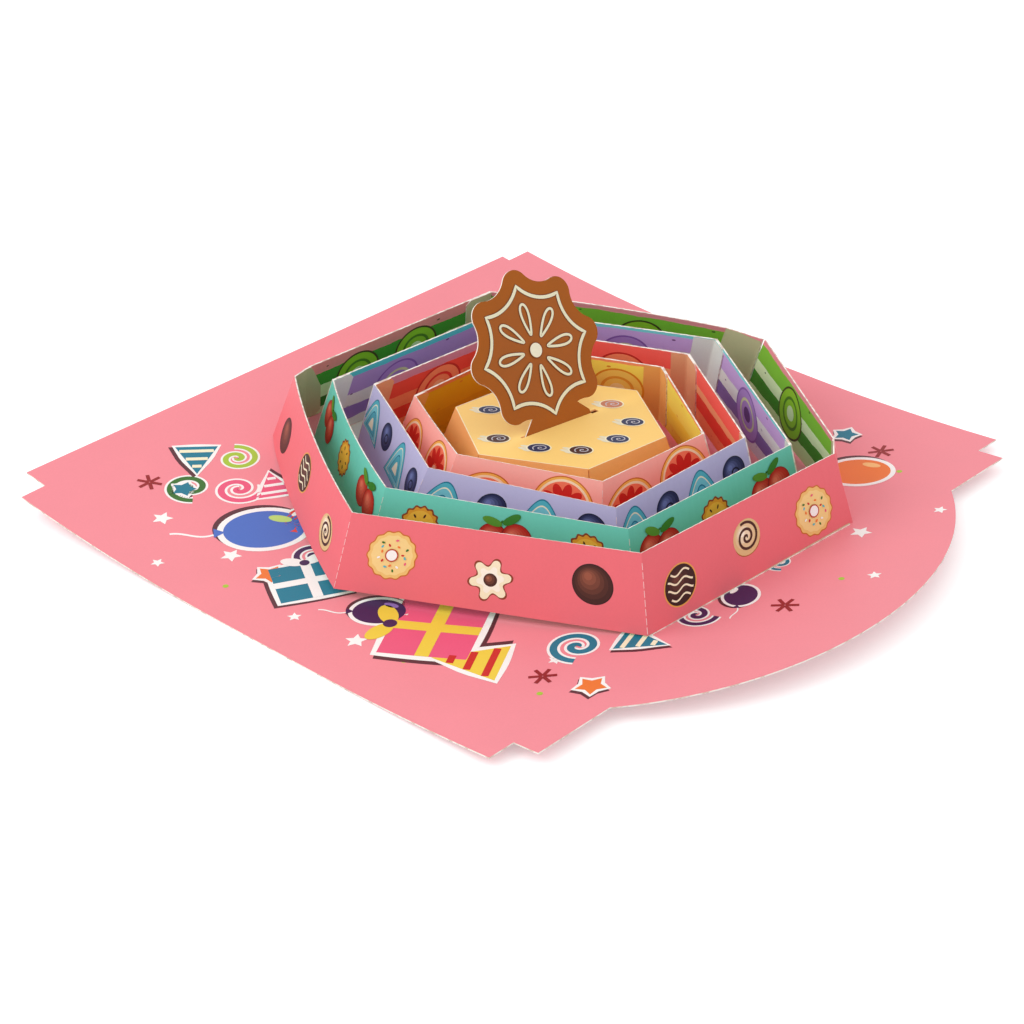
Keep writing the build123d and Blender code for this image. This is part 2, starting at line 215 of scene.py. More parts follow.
class Piece:
    """The surfaces of one piece, joined into one mesh: points on grids, with slot, UV and ink colour."""

    def __init__(self, name):
        self.name = name
        self.points, self.maps, self.faces, self.slots, self.inks = [], [], [], [], []
        self.count = 0

    def grid(self, points, slot, uv=None, ink=(1, 1, 1), flip=False):
        """Adds a grid of points, rows by columns. Faces wind from row to column, or back if flipped."""
        rows, columns = points.shape[:2]
        uv = np.zeros((rows, columns, 2)) if uv is None else uv
        index = np.arange(rows * columns).reshape(rows, columns) + self.count
        quads = np.stack([index[:-1, :-1], index[1:, :-1], index[1:, 1:], index[:-1, 1:]], axis=-1).reshape(-1, 4)
        self.faces.append(quads[:, ::-1] if flip else quads)
        self.points.append(points.reshape(-1, 3))
        self.maps.append(uv.reshape(-1, 2))
        self.slots.append(np.full(len(quads), slot))
        self.inks.append(np.tile(np.array([*ink, 1.0]), (len(quads), 1)))
        self.count += rows * columns

    def build(self, materials, replaced):
        """Makes the object, which rides on the one body and stands for its CAD node."""
        faces = np.concatenate(self.faces)
        mesh = bpy.data.meshes.new(self.name)
        mesh.from_pydata(np.concatenate(self.points).tolist(), [], faces.tolist())
        for material in materials:
            mesh.materials.append(material)
        mesh.polygons.foreach_set("material_index", np.concatenate(self.slots).astype(np.int32))
        layer = mesh.uv_layers.new(name="print")
        layer.data.foreach_set("uv", np.concatenate(self.maps)[faces.ravel()].astype(np.float32).ravel())
        ink = mesh.attributes.new("ink", "FLOAT_COLOR", "FACE")
        ink.data.foreach_set("color", np.concatenate(self.inks).astype(np.float32).ravel())
        mesh.validate()
        mesh.update()
        thing = bpy.data.objects.new(self.name, mesh)
        bpy.context.collection.objects.link(thing)
        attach(thing, "root")
        for node in replaced:
            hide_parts(node)
        return thing


# Shapes of the print. Each is a grid of flat points, drawn in millimetres, which a sheet places on its face.


def arc(radius, start, end, points):
    """Points on a circle's arc between two angles in degrees."""
    angle = np.radians(np.linspace(start, end, points))
    return radius * np.stack([np.cos(angle), np.sin(angle)], axis=-1)


def circle(radius, points=ink_points):
    """A closed outline of points on a circle."""
    return arc(radius, 0, 360, points + 1)


def spun(points, turn):
    """Points turned about the origin by an angle in degrees."""
    c, s = np.cos(np.radians(turn)), np.sin(np.radians(turn))
    return points @ np.array([[c, s], [-s, c]])


def ellipse(width, height, turn=0.0):
    """A closed outline of points on an ellipse, turned by an angle in degrees."""
    return spun(circle(1.0) * np.array([width, height]) / 2, turn)


def wavy(radius, depth, waves, power=1.0):
    """A closed outline whose radius rises and falls: mean radius plus depth times a cosine to a power."""
    angle = np.linspace(0, 2 * np.pi, 3 * ink_points + 1)
    wave = np.cos(waves * angle)
    reach = radius + depth * np.sign(wave) * np.abs(wave) ** power
    return reach[:, None] * np.stack([np.cos(angle), np.sin(angle)], axis=-1)


def straight_runs(corners, dents):
    """A path of straight runs between corners, each run in as many steps."""
    step = np.linspace(0, len(corners) - 1, (len(corners) - 1) * dents + 1)
    return np.stack([np.interp(step, np.arange(len(corners)), corners[:, axis]) for axis in (0, 1)], axis=-1)


def star(radius, inner):
    """A closed outline of straight runs between five tips and the corners between them."""
    reach = np.where(np.arange(11) % 2 == 0, radius, inner)
    return straight_runs(arc(1.0, 90, 450, 11) * reach[:, None], 6)


def corners_of(points):
    """A closed outline with straight runs between the given corners."""
    return straight_runs(np.array([*points, points[0]], dtype=float), 8)


def filled(outline, centre=(0.0, 0.0)):
    """The area inside an outline that its middle can see, as rings that shrink to the middle."""
    middle = outline[:-1].mean(axis=0)
    share = np.linspace(0, 1, ink_rings + 1)[:, None, None]
    return np.asarray(centre) + middle + share * (outline - middle)[None]


def banded(outer, inner, centre=(0.0, 0.0)):
    """The area between two outlines of as many points."""
    return np.asarray(centre) + np.stack([inner, (inner + outer) / 2, outer])


def line_of(path, width):
    """A line of even width along a path, set out on both sides along its normals."""
    path = np.asarray(path, dtype=float)
    along = np.gradient(path, axis=0)
    if np.allclose(path[0], path[-1]):
        along[0] = along[-1] = path[1] - path[-2]
    along /= np.linalg.norm(along, axis=1, keepdims=True) + 1e-12
    half = np.stack([-along[:, 1], along[:, 0]], axis=-1) * width / 2
    return np.stack([path + half, path, path - half])


def coil(radius, turns):
    """A flat spiral whose radius grows evenly with its angle."""
    angle = np.linspace(0, 2 * np.pi * turns, 72)
    return (radius * angle / angle[-1])[:, None] * np.stack([np.cos(angle), np.sin(angle)], axis=-1)


def spot(radius, ink, at=(0.0, 0.0), points=ink_points):
    """A filled round of one ink."""
    return filled(circle(radius, points), at), ink


def oval(width, height, ink, at=(0.0, 0.0), turn=0.0):
    """A filled oval of one ink, turned by an angle in degrees."""
    return filled(ellipse(width, height, turn), at), ink


def stroke(path, width, ink):
    """A line of one ink and even width along a path."""
    return line_of(path, width), ink


# Ink colours.
cream = linear(250, 240, 205)
white = linear(250, 248, 244)
cocoa = linear(74, 36, 26)
rust = linear(142, 62, 36)
caramel = linear(232, 168, 78)
red_ink = linear(206, 42, 36)
dark_red = linear(150, 34, 36)
leaf = linear(58, 112, 40)
lime = linear(170, 200, 60)
aqua = linear(84, 182, 196)
deep_aqua = linear(30, 122, 146)
navy = linear(42, 48, 84)
plum = linear(70, 34, 84)
orange = linear(240, 122, 50)
yellow = linear(240, 208, 70)
shadow_ink = linear(92, 44, 52)
rose = linear(236, 92, 128)


def shapes_at(shapes, place, turn=0.0, scale=1.0):
    """Layers of a motif, drawn in millimetres, turned, scaled and moved to their place on the sheet."""
    return [(spun(grid * scale * mm, turn) + np.asarray(place), ink) for grid, ink in shapes]


def ball(radius, dark, light, steps=6, at=(0.0, 0.0)):
    """A shaded ball: rounds that shrink towards its upper left and grow lighter."""
    layers = []
    for share in np.linspace(0, 1, steps):
        ink = tuple(np.array(dark) + (np.array(light) - np.array(dark)) * share**1.5)
        middle = np.array([-0.28, 0.34]) * radius * share + np.asarray(at)
        layers.append(spot(radius * (1 - 0.8 * share), ink, middle, 32))
    return layers


def sweet_ball():
    """A dark ball with a soft highlight."""
    return [spot(4.5, linear(46, 20, 18)), *ball(4.3, linear(66, 30, 24), linear(150, 84, 62))]


def round_biscuit():
    """A sandy round with a scalloped edge, coloured sprinkles and a pale button in the middle."""
    inks = (red_ink, aqua, leaf, orange, white, rose)
    sprinkles = []
    for number in range(16):
        place = spun(np.array([2.4 + 0.6 * (number % 3), 0.0]), number * golden_angle)
        sprinkles.append(oval(0.75, 0.45, inks[number % len(inks)], place, number * 50))
    rims = ((5.6, 0.18, (206, 112, 44)), (5.3, 0.18, (240, 196, 116)), (4.6, 0.1, (246, 212, 140)))
    rounds = [(filled(wavy(radius, depth, 14)), linear(*colour)) for radius, depth, colour in rims]
    return [*rounds, *sprinkles, spot(1.5, linear(190, 70, 44), points=32), spot(1.2, white, points=32)]


def sugar_flower():
    """A cream flower of six petals with a brown middle."""
    sizes = ((4.2, 0.9, rust), (3.8, 0.85, cream), (2.6, 0.5, linear(255, 250, 232)))
    petals = [(filled(wavy(radius, depth, 6, 0.7)), ink) for radius, depth, ink in sizes]
    return [*petals, *ball(1.5, cocoa, linear(170, 100, 70), 4)]


def striped_drop():
    """A dark round with waving cream bars across it."""
    bars = []
    for height in (-2.7, -0.9, 0.9, 2.7):
        half = np.sqrt(4.1**2 - height**2) - 0.4
        run = np.linspace(-half, half, 20)
        bars.append(stroke(np.stack([run, height + 0.5 * np.sin(run * 1.3)], axis=-1), 0.4, cream))
    middle = ball(3.9, linear(60, 28, 26), linear(104, 58, 46), 4)
    return [spot(4.7, caramel), spot(4.4, linear(56, 26, 24)), *middle, *bars]


def cream_coil():
    """A pale ball with a dark coil on it and a golden foot."""
    foot = oval(7.6, 6.4, linear(176, 104, 44), (0.0, -1.0))
    return [foot, *ball(4.0, linear(226, 190, 134), linear(255, 246, 222), 4), stroke(coil(3.4, 2.3), 0.6, cocoa)]


def cherry_pair():
    """Two red balls on green stalks with two leaves."""
    layers = []
    for x in (-2.3, 2.5):
        height = np.linspace(-1.0, 2.6, 16) + 0.5 * np.sin(np.linspace(0, np.pi, 16))
        layers.append(stroke(np.stack([np.linspace(x, 0.4, 16), height], axis=-1), 0.45, leaf))
    for at in ((-2.3, -0.8), (2.5, -1.3)):
        layers += [spot(3.2, dark_red, at), *ball(3.0, linear(196, 40, 34), linear(244, 120, 100), at=at)]
    leaves = ((2.3, 20, (58, 128, 44)), (-1.8, -26, (92, 150, 50)))
    return layers + [oval(4.2, 1.7, linear(*colour), (x, 2.7), turn) for x, turn, colour in leaves]


def golden_round():
    """A small golden biscuit with a cut edge and dark seeds."""
    seeds = [oval(0.9, 0.4, cocoa, spun(np.array([2.0, 0.0]), turn), turn) for turn in range(0, 360, 60)]
    rims = ((3.9, rust), (3.5, linear(232, 156, 48)))
    rounds = [(filled(wavy(radius, 0.2, 14)), ink) for radius, ink in rims]
    return [*rounds, spot(2.9, linear(244, 184, 66)), *seeds]


def aqua_fan():
    """Aqua and cream peaks, one inside the other: half rounds drawn in and up towards their tops."""
    angle = np.linspace(0, np.pi, 41)
    across = np.cos(angle) * (1 - 0.3 * np.sin(angle))
    rim = np.stack([across, 1.55 * np.sin(angle) ** 1.4 - 0.5], axis=-1)
    rim = np.concatenate([rim, rim[:1]])
    pale_aqua = linear(120, 204, 212)
    sizes = (6.4, 6.1, 5.1, 4.8, 3.4, 3.1, 1.7)
    inks = (deep_aqua, aqua, cream, pale_aqua, deep_aqua, aqua, cream)
    return [(filled(rim * size), ink) for size, ink in zip(sizes, inks)]


def blue_berry():
    """A dark blue ball with a crown ring."""
    crown = banded(circle(1.2, 24), circle(0.8, 24), (0.4, -0.4)), linear(24, 26, 50)
    return [spot(3.3, linear(26, 28, 50)), *ball(3.1, linear(38, 44, 80), linear(112, 124, 176), 5), crown]


def red_rosette():
    """A red flower of ten round petals inside a cream and golden ring."""
    petals = [oval(3.6, 1.9, red_ink, spun(np.array([3.0, 0.0]), turn), turn) for turn in range(0, 360, 36)]
    rings = ((6.3, (206, 112, 40)), (6.05, (246, 190, 90)), (5.6, (252, 236, 200)), (5.1, (246, 128, 96)))
    rounds = [spot(radius, linear(*colour)) for radius, colour in rings]
    return [*rounds, *petals, spot(0.9, linear(252, 220, 190), points=24)]


def ringed_round(rim, body, ring, middle):
    """A plain round of rings, one inside the other."""
    return [spot(6.2, rim), spot(5.7, body), (banded(circle(3.9), circle(3.2)), ring), spot(1.8, middle, points=24)]


# Materials. Each reads the piece's own UV map, its ink attribute or object coordinates.


def node_material(name):
    """A new node material, with its tree and its shader."""
    material = bpy.data.materials.new(name)
    material.use_nodes = True
    tree = material.node_tree
    return material, tree, tree.nodes["Principled BSDF"]


def wire(tree, socket, value):
    """Links a socket to another one or sets its value, where a colour of three numbers gets its alpha."""
    if isinstance(value, bpy.types.NodeSocket):
        tree.links.new(value, socket)
    elif socket.type == "RGBA" and len(value) == 3:
        socket.default_value = (*value, 1)
    else:
        socket.default_value = value


def made(tree, kind, **inputs):
    """The outputs of a new shader node, with its named inputs set or linked."""
    node = tree.nodes.new("ShaderNode" + kind)
    for name, value in inputs.items():
        wire(tree, node.inputs[name], value)
    return node.outputs


def maths(tree, kind, *values):
    """A Math node on values or sockets."""
    node = tree.nodes.new("ShaderNodeMath")
    node.operation = kind
    for socket, value in zip(node.inputs, values):
        wire(tree, socket, value)
    return node.outputs[0]


def blend_colours(tree, share, first, second, kind="MIX"):
    """A Mix node on two colours, each a value or a socket."""
    node = tree.nodes.new("ShaderNodeMix")
    node.data_type = "RGBA"
    node.blend_type = kind
    for socket, value in zip((node.inputs["Factor"], node.inputs[6], node.inputs[7]), (share, first, second)):
        wire(tree, socket, value)
    return node.outputs[2]


def noise(tree, vector, scale, detail=2.0):
    """A noise texture on the given coordinates."""
    return made(tree, "TexNoise", Vector=vector, Scale=scale, Detail=detail)["Fac"]


def colour_ramp(tree, share, stops, kind="LINEAR"):
    """A ramp through colours at their positions, read at a share."""
    node = tree.nodes.new("ShaderNodeValToRGB")
    elements = node.color_ramp.elements
    node.color_ramp.interpolation = kind
    while len(elements) < len(stops):
        elements.new(0.99)
    for element, (position, colour) in zip(elements, stops):
        element.position = position
        element.color = (*colour, 1)
    tree.links.new(share, node.inputs[0])
    return node.outputs[0]


def paper_finish(tree, shader, colour, roughness=0.5, mottle=0.05):
    """Gives a card its finish: a colour that clouds slightly, fine fibre grain and a low satin sheen."""
    place = made(tree, "TexCoord")["Object"]
    cloud = noise(tree, place, 55, 3)
    fibre = noise(tree, place, 1800)
    shade = maths(tree, "MULTIPLY_ADD", cloud, mottle * 2, 1 - mottle)
    shade = maths(tree, "MULTIPLY_ADD", fibre, fibre_grain * 2, maths(tree, "SUBTRACT", shade, fibre_grain))
    tone = made(tree, "CombineColor", Red=shade, Green=shade, Blue=shade)[0]
    wire(tree, shader.inputs["Base Color"], blend_colours(tree, 1.0, colour, tone, "MULTIPLY"))
    wire(tree, shader.inputs["Roughness"], maths(tree, "MULTIPLY_ADD", cloud, 0.16, roughness - 0.08))
    shader.inputs["Specular IOR Level"].default_value = 0.25
    height = maths(tree, "MULTIPLY_ADD", fibre, 0.25, noise(tree, place, 90, 1))
    dents = made(tree, "Bump", Strength=0.12, Distance=0.0002, Height=height)[0]
    wire(tree, shader.inputs["Normal"], dents)


def plain_card(name, colour, roughness=0.5, mottle=0.05):
    """Card printed in one colour."""
    material, tree, shader = node_material(name)
    paper_finish(tree, shader, colour, roughness, mottle)
    return material


def ink_card(name):
    """The printed shapes: each face has its own ink colour."""
    material, tree, shader = node_material(name)
    source = tree.nodes.new("ShaderNodeAttribute")
    source.attribute_name = "ink"
    paper_finish(tree, shader, source.outputs["Color"], 0.45, 0.07)
    return material


def cut_edge(name):
    """The cut edge of the card: cream white, tinted in places by the print that the cutter dragged over it."""
    material, tree, shader = node_material(name)
    worn = noise(tree, made(tree, "TexCoord")["Object"], 420)
    edge = colour_ramp(tree, worn, ((0.38, linear(222, 200, 186)), (0.52, linear(252, 246, 236))))
    paper_finish(tree, shader, edge, 0.75, 0.03)
    return material


def layered_card(name, bands, speck, speck_size, speck_share):
    """The inside of a collar: bands of cake by the share of the strip's width, some with specks.

    The band edges waver by a noise along the strip, and specks are the middles of a cell pattern.
    """
    material, tree, shader = node_material(name)
    source = tree.nodes.new("ShaderNodeUVMap")
    source.uv_map = "print"
    run, down, _ = made(tree, "SeparateXYZ", Vector=source.outputs[0])
    waver = maths(tree, "MULTIPLY_ADD", noise(tree, source.outputs[0], 3.0), 0.05, -0.025)
    layers = colour_ramp(tree, maths(tree, "ADD", down, waver), bands, "CONSTANT")
    stretch = made(tree, "CombineXYZ", X=run, Y=maths(tree, "MULTIPLY", down, 2.0))[0]
    cells = made(tree, "TexVoronoi", Vector=stretch, Scale=speck_size)
    dots = maths(tree, "LESS_THAN", cells["Distance"], 0.13)
    some = maths(tree, "LESS_THAN", made(tree, "SeparateXYZ", Vector=cells["Color"])[0], speck_share)
    strength = maths(tree, "MULTIPLY_ADD", maths(tree, "LESS_THAN", down, 0.42), 0.45, 0.4)
    share = maths(tree, "MULTIPLY", maths(tree, "MULTIPLY", dots, some), strength)
    paper_finish(tree, shader, blend_colours(tree, share, layers, speck))
    return material


# The collars' folded strips.


def hexagon(half_spine, half_side, half_width):
    """Corners of a hexagon in plan, counterclockwise from the spine's left end."""
    xs = np.array([-half_spine, -half_side, half_side, half_spine, half_side, -half_side])
    ys = np.array([0, -half_width, -half_width, 0, half_width, half_width])
    return np.stack([xs, ys], axis=-1)


def fold(collar, letter):
    """A fold's upper and lower end in the object's frame."""
    x, y, lift, step_x, step_y = np.array(collar.corners[letter]) * mm
    return out_of(collar_frame, [[x, y, lift], [x + step_x, y + step_y, lift - strip_width]])


def unit(vector):
    """A vector, or each of a row of them, at length 1."""
    return vector / np.linalg.norm(vector, axis=-1, keepdims=True)


def tucked(corner, ahead, far):
    """A fold moved in towards the strip's next one, until it clears the wall that runs off to the far fold."""
    outward = unit(np.cross(corner[1] - corner[0], far[0] - corner[0]))
    way = unit(ahead - corner)
    return corner + way * (card / np.maximum(np.abs(way @ outward), 0.3))[:, None]


def free_end(corner, far, length):
    """The end of a tab that runs from its fold towards the far fold of the wall it is glued to."""
    return corner + unit(far - corner) * length * mm


class Strip:
    """A folded strip as columns: running length, upper and lower ends, and the step to its inner face."""

    def __init__(self, folds, start_cut=None, end_cut=None, seated=(), bows=None, zero=0):
        """folds runs from one end to the other. Cuts are the shapes of free ends, and bows go by panel."""
        runs, uppers, lowers, normals = [], [], [], []
        self.at = [0.0]
        for number, (start, end) in enumerate(zip(folds, folds[1:])):
            size = np.linalg.norm(end[0] - start[0])
            t = np.linspace(0, 1, max(3, int(size / column_step)) + 1)[:, None]
            upper = start[0] + (end[0] - start[0]) * t
            lower = start[1] + (end[1] - start[1]) * t
            normal = unit(np.cross(lower - upper, (end - start).mean(axis=0)[None]))
            bulge = (bows or {}).get(number, 0.0) * mm * 4 * t * (1 - t) * normal
            upper, lower = upper + bulge, lower + bulge
            down = unit(lower - upper)
            top_cut, low_cut = np.zeros((2, len(t), 1))
            if number == 0 and start_cut:
                top_cut, low_cut = self.corner_cuts(start_cut, t * size)
            if number == len(folds) - 2 and end_cut:
                top_cut, low_cut = self.corner_cuts(end_cut, (1 - t) * size)
            lower = self.trimmed(upper, lower, number in seated) - down * low_cut
            runs.append(self.at[-1] + t[:, 0] * size)
            uppers.append(upper + down * top_cut)
            lowers.append(lower)
            normals.append(normal)
            self.at.append(self.at[-1] + size)
        steps = [-normal * card for normal in normals]
        for before, after, left, right in zip(normals, normals[1:], steps, steps[1:]):
            one, two = before[-1], after[0]
            left[-1] = right[0] = -(one + two) / (1 + one @ two) * card
        self.run, self.upper, self.lower, self.step = [
            np.concatenate([pieces[0], *(piece[1:] for piece in pieces[1:])])
            for pieces in (runs, uppers, lowers, steps)
        ]
        self.run = self.run - self.at[zero]
        self.at = [place - self.at[zero] for place in self.at]
        nick = np.sin(self.run / mm * 2.7) * 0.6 + np.sin(self.run / mm * 5.9 + 1.3) * 0.4
        self.upper = self.upper + np.array([0, 0, nick_height]) * nick[:, None]

    @staticmethod
    def corner_cuts(kind, along):
        """How far down the upper end and up the lower end a tab is cut off, by distance from its free end."""
        deep, long = np.array(tab_cuts[kind]) * mm
        return deep * np.maximum(0, 1 - along / long), np.maximum(0, tab_chamfer - along)

    @staticmethod
    def trimmed(upper, lower, seated):
        """The lower ends moved up their own lines until they clear the base, or stand on it."""
        room = 0.0 if seated else paper_gap
        share = np.ones(len(upper))
        for _ in range(4):
            foot = upper + (lower - upper) * share[:, None]
            floor = base_top(foot[:, 1]) + room
            rise = (upper[:, 2] - floor) / (upper[:, 2] - lower[:, 2])
            share = np.minimum(1.0, rise)
        return upper + (lower - upper) * share[:, None]

    def column(self, values, run):
        """Columns' values at any running length."""
        return np.stack([np.interp(run, self.run, values[:, axis]) for axis in range(3)], axis=-1)

    def place(self, grid, lift, inside=False):
        """Flat points, running length by height above the lower edge's level, laid on a face."""
        upper, lower = self.column(self.upper, grid[..., 0]), self.column(self.lower, grid[..., 0])
        span = np.linalg.norm(upper - lower, axis=-1)
        height = np.clip(grid[..., 1], 0.1 * mm, span - 0.1 * mm)
        step = self.column(self.step, grid[..., 0])
        outward = -step / np.linalg.norm(step, axis=-1, keepdims=True)
        share = (height / span)[..., None]
        face = lower + (upper - lower) * share
        return face + step - outward * lift if inside else face + outward * lift

    def add_to(self, piece):
        """Adds both faces and all four edges to a piece, with UVs of run and share of the width."""
        down = np.linspace(0, 1, strip_rows)[:, None]
        face = self.upper[None] + (self.lower - self.upper)[None] * down[..., None]
        back = face + self.step[None]
        uv = np.stack(np.broadcast_arrays(self.run[None] / strip_width, down), axis=-1)
        piece.grid(face, slot_outside, uv)
        piece.grid(back, slot_inside, uv, flip=True)
        piece.grid(np.stack([back[0], face[0]]), slot_edge)
        piece.grid(np.stack([face[-1], back[-1]]), slot_edge)
        piece.grid(np.stack([face[:, 0], back[:, 0]]).transpose(1, 0, 2), slot_edge, flip=True)
        piece.grid(np.stack([face[:, -1], back[:, -1]]).transpose(1, 0, 2), slot_edge)


def foot_tab(piece, start, end):
    """The tab folded in at a wall's foot and glued to the base: a patch that follows its curve."""
    way = unit(end - start)
    start, end = start + way * foot_tab_setback, end - way * foot_tab_setback
    along = np.linspace(0, 1, 16)[None, :, None]
    inward = np.linspace(0, 1, 6)[:, None, None]
    step = unit(np.array([-way[1], way[0], 0.0])) * foot_tab_width
    plan = start + (end - start) * along + step * inward
    upper = plan.copy()
    upper[..., 2] = base_top(plan[..., 1]) + card
    lower = plan.copy()
    lower[..., 2] = base_top(plan[..., 1]) + hair_gap
    piece.grid(upper, slot_tab)
    for rows in (np.s_[0], np.s_[-1]):
        piece.grid(np.stack([upper[rows], lower[rows]]), slot_edge, flip=rows == 0)
    for columns, flip in ((0, False), (-1, True)):
        piece.grid(np.stack([upper[:, columns], lower[:, columns]]).transpose(1, 0, 2), slot_edge, flip=flip)


def crease_line(piece, strip, place):
    """The worn print along a fold: a thin broken line of bare card down the strip."""
    width = strip_width * 0.98
    for low in np.arange(0.02, 0.98, 0.12):
        bit = [[place, (low + step) * width] for step in (0, 0.045, 0.09)]
        piece.grid(strip.place(line_of(bit, crease_width), ink_lift), slot_ink, ink=linear(250, 226, 222))


def print_on(piece, slot, place, layers):
    """Lays the layers of a motif on a sheet, each a little higher than the one before."""
    lift = settings()[0].lift
    for number, (grid, ink) in enumerate(layers):
        piece.grid(place(grid, lift + ink_step * number), slot, ink=ink)


# The motifs outside each collar: their kinds in turn, their spacing in millimetres, their scale, and their
# two heights as shares of the strip's width.
motif_rows = {
    "pink": ((sweet_ball, striped_drop, cream_coil, round_biscuit, sugar_flower), 27.0, 1.18, (0.42, 0.56)),
    "teal": ((cherry_pair, golden_round), 21.0, 1.3, (0.7, 0.64)),
    "lavender": ((aqua_fan, blue_berry), 13.5, 1.25, (0.54, 0.7)),
    "salmon": ((red_rosette,), 21.0, 1.3, (0.5, 0.62)),
}


def motifs_along(start, end, name, first):
    """Motifs set out along a wall at the collar's spacing, high and low in turn."""
    kinds, spacing, scale, heights = motif_rows[name]
    count = max(1, round((end - start) / (spacing * mm)))
    for number in range(first, first + count):
        run = start + (end - start) * (number - first + 0.5) / count
        turn = (number * 37) % 30 - 15 if name != "lavender" else 0
        layers = kinds[number % len(kinds)]()
        yield shapes_at(layers, (run, strip_width * heights[number % 2]), turn, scale)


class CardSizes(bpy.types.PropertyGroup):
    """Sizes of the print and the light that a user would change."""

    lift: bpy.props.FloatProperty(
        name="Ink lift", description="Height of the print over its sheet", default=ink_lift, unit="LENGTH", precision=6
    )
    lamp: bpy.props.FloatProperty(name="Lamp power", description="Power of the large soft lamp", default=2.3, min=0)
    sky: bpy.props.FloatProperty(
        name="Sky strength", description="Strength of the even light from all round", default=0.88, min=0
    )


as_colour = {"subtype": "COLOR", "min": 0, "max": 1}


class CardColours(bpy.types.PropertyGroup):
    """Colours of the card stock."""

    base: bpy.props.FloatVectorProperty(
        name="Base", description="Print of the base sheet", default=linear(243, 142, 152), **as_colour
    )
    pink: bpy.props.FloatVectorProperty(
        name="Outer collar", description="Outside of the largest collar", default=linear(237, 113, 122), **as_colour
    )
    teal: bpy.props.FloatVectorProperty(
        name="Second collar", description="Outside of the second collar", default=linear(112, 208, 190), **as_colour
    )
    lavender: bpy.props.FloatVectorProperty(
        name="Third collar", description="Outside of the third collar", default=linear(194, 190, 224), **as_colour
    )
    salmon: bpy.props.FloatVectorProperty(
        name="Inner collar", description="Outside of the smallest collar", default=linear(255, 182, 172), **as_colour
    )
    box: bpy.props.FloatVectorProperty(
        name="Box top", description="Top of the middle box", default=linear(255, 210, 122), **as_colour
    )
    cookie: bpy.props.FloatVectorProperty(
        name="Cut-out", description="Brown of the cut-out", default=linear(170, 90, 6), **as_colour
    )


def settings():
    """The scene's settings for this card."""
    return bpy.context.scene.card_sizes, bpy.context.scene.card_colours


def shared(make, name, *values):
    """A material by name, made on its first use."""
    return bpy.data.materials.get(name) or make(name, *values)


# The bands of cake inside each collar, from the top edge down: where each starts, as a share of the width,
# and its colour. One row is for the left wall, a darker copy with that wall's shade painted in, and one for
# the back and right walls. The colour, density and share of the specks follow.
inside_prints = {
    "pink": (
        ((0.0, 250, 140, 142), (0.2, 66, 152, 48), (0.45, 226, 238, 186), (0.68, 34, 122, 36), (0.86, 222, 226, 180)),
        ((0.0, 255, 146, 158), (0.08, 138, 196, 58), (0.35, 250, 250, 206), (0.54, 64, 142, 36), (0.76, 230, 236, 184)),
        (36, 66, 22), 3.4, 0.5,
    ),
    "teal": (
        ((0.0, 84, 206, 204), (0.09, 180, 150, 200), (0.4, 236, 236, 216), (0.62, 150, 118, 182),
         (0.84, 226, 224, 210)),
        ((0.0, 130, 230, 222), (0.05, 214, 178, 226), (0.32, 250, 250, 232), (0.54, 136, 112, 170),
         (0.78, 232, 232, 220)),
        (92, 44, 104), 3.4, 0.55,
    ),
    "lavender": (
        ((0.0, 204, 156, 186), (0.14, 232, 92, 74), (0.4, 246, 160, 112), (0.62, 226, 70, 52), (0.84, 242, 146, 100)),
        ((0.0, 255, 118, 106), (0.32, 255, 200, 146), (0.46, 236, 82, 62), (0.74, 252, 176, 124), (0.9, 250, 172, 120)),
        (196, 44, 44), 3.2, 0.4,
    ),
    "salmon": (
        ((0.0, 236, 140, 92), (0.06, 232, 184, 30), (0.5, 224, 174, 28), (0.8, 216, 166, 26), (0.95, 210, 160, 26)),
        ((0.0, 252, 160, 120), (0.04, 255, 244, 110), (0.5, 255, 236, 86), (0.8, 252, 222, 74), (0.95, 250, 214, 66)),
        (220, 140, 40), 3.2, 0.6,
    ),
}
facet_inks = {
    "pink": linear(206, 190, 152),
    "teal": linear(234, 238, 222),
    "lavender": linear(232, 186, 140),
    "salmon": linear(240, 180, 104),
}
round_inks = {
    "pink": ((70, 60, 24), (156, 200, 44), (84, 128, 30), (236, 240, 196)),
    "teal": ((140, 100, 170), (178, 140, 200), (220, 224, 160), (96, 60, 120)),
    "lavender": ((196, 60, 50), (246, 168, 120), (220, 70, 60), (250, 220, 170)),
    "salmon": ((226, 150, 40), (250, 222, 110), (232, 170, 60), (250, 236, 170)),
}
# Where the rounds stand inside each collar: on its left, back and right wall, by share of the wall's length.
round_shares = {
    "pink": ((0.42, 0.74), (0.34, 0.72), (0.55,)),
    "teal": ((0.6,), (0.4, 0.8), (0.56,)),
    "lavender": ((0.5,), (0.36,), ()),
    "salmon": ((), (0.3,), ()),
}


def card_materials(name, colours, left=False):
    """A collar's materials in slot order: outside, inside, cut edge, ink and the plain tabs' inside."""
    painted_shade_bands, lit, speck, size, share = inside_prints[name]
    # The left wall takes the darker row, whose colours paint in its shade.
    bands = [(start, linear(*colour)) for start, *colour in (painted_shade_bands if left else lit)]
    inside = name + ("_left_inside" if left else "_inside")
    return [
        shared(plain_card, name + "_outside", getattr(colours, name)),
        shared(layered_card, inside, bands, linear(*speck), size, share),
        shared(cut_edge, "cut_edge"),
        shared(ink_card, "ink"),
        shared(plain_card, name + "_tab", facet_inks[name], 0.6),
    ]


def letters_of(collar, letters):
    """Those of the letters that the collar's corners have: a corner that isn't cut off has one letter."""
    return [letter for letter in letters if letter in collar.corners]


def with_tabs(collar, folds, before, after, tabs):
    """A strip's folds with a tab beyond its first and last one, each towards another strip's corner."""
    before, after = fold(collar, before), fold(collar, after)
    first, last = tucked(folds[0], folds[1], before), tucked(folds[-1], folds[-2], after)
    return [free_end(first, before, tabs[0]), first, *folds[1:-1], last, free_end(last, after, tabs[1])]


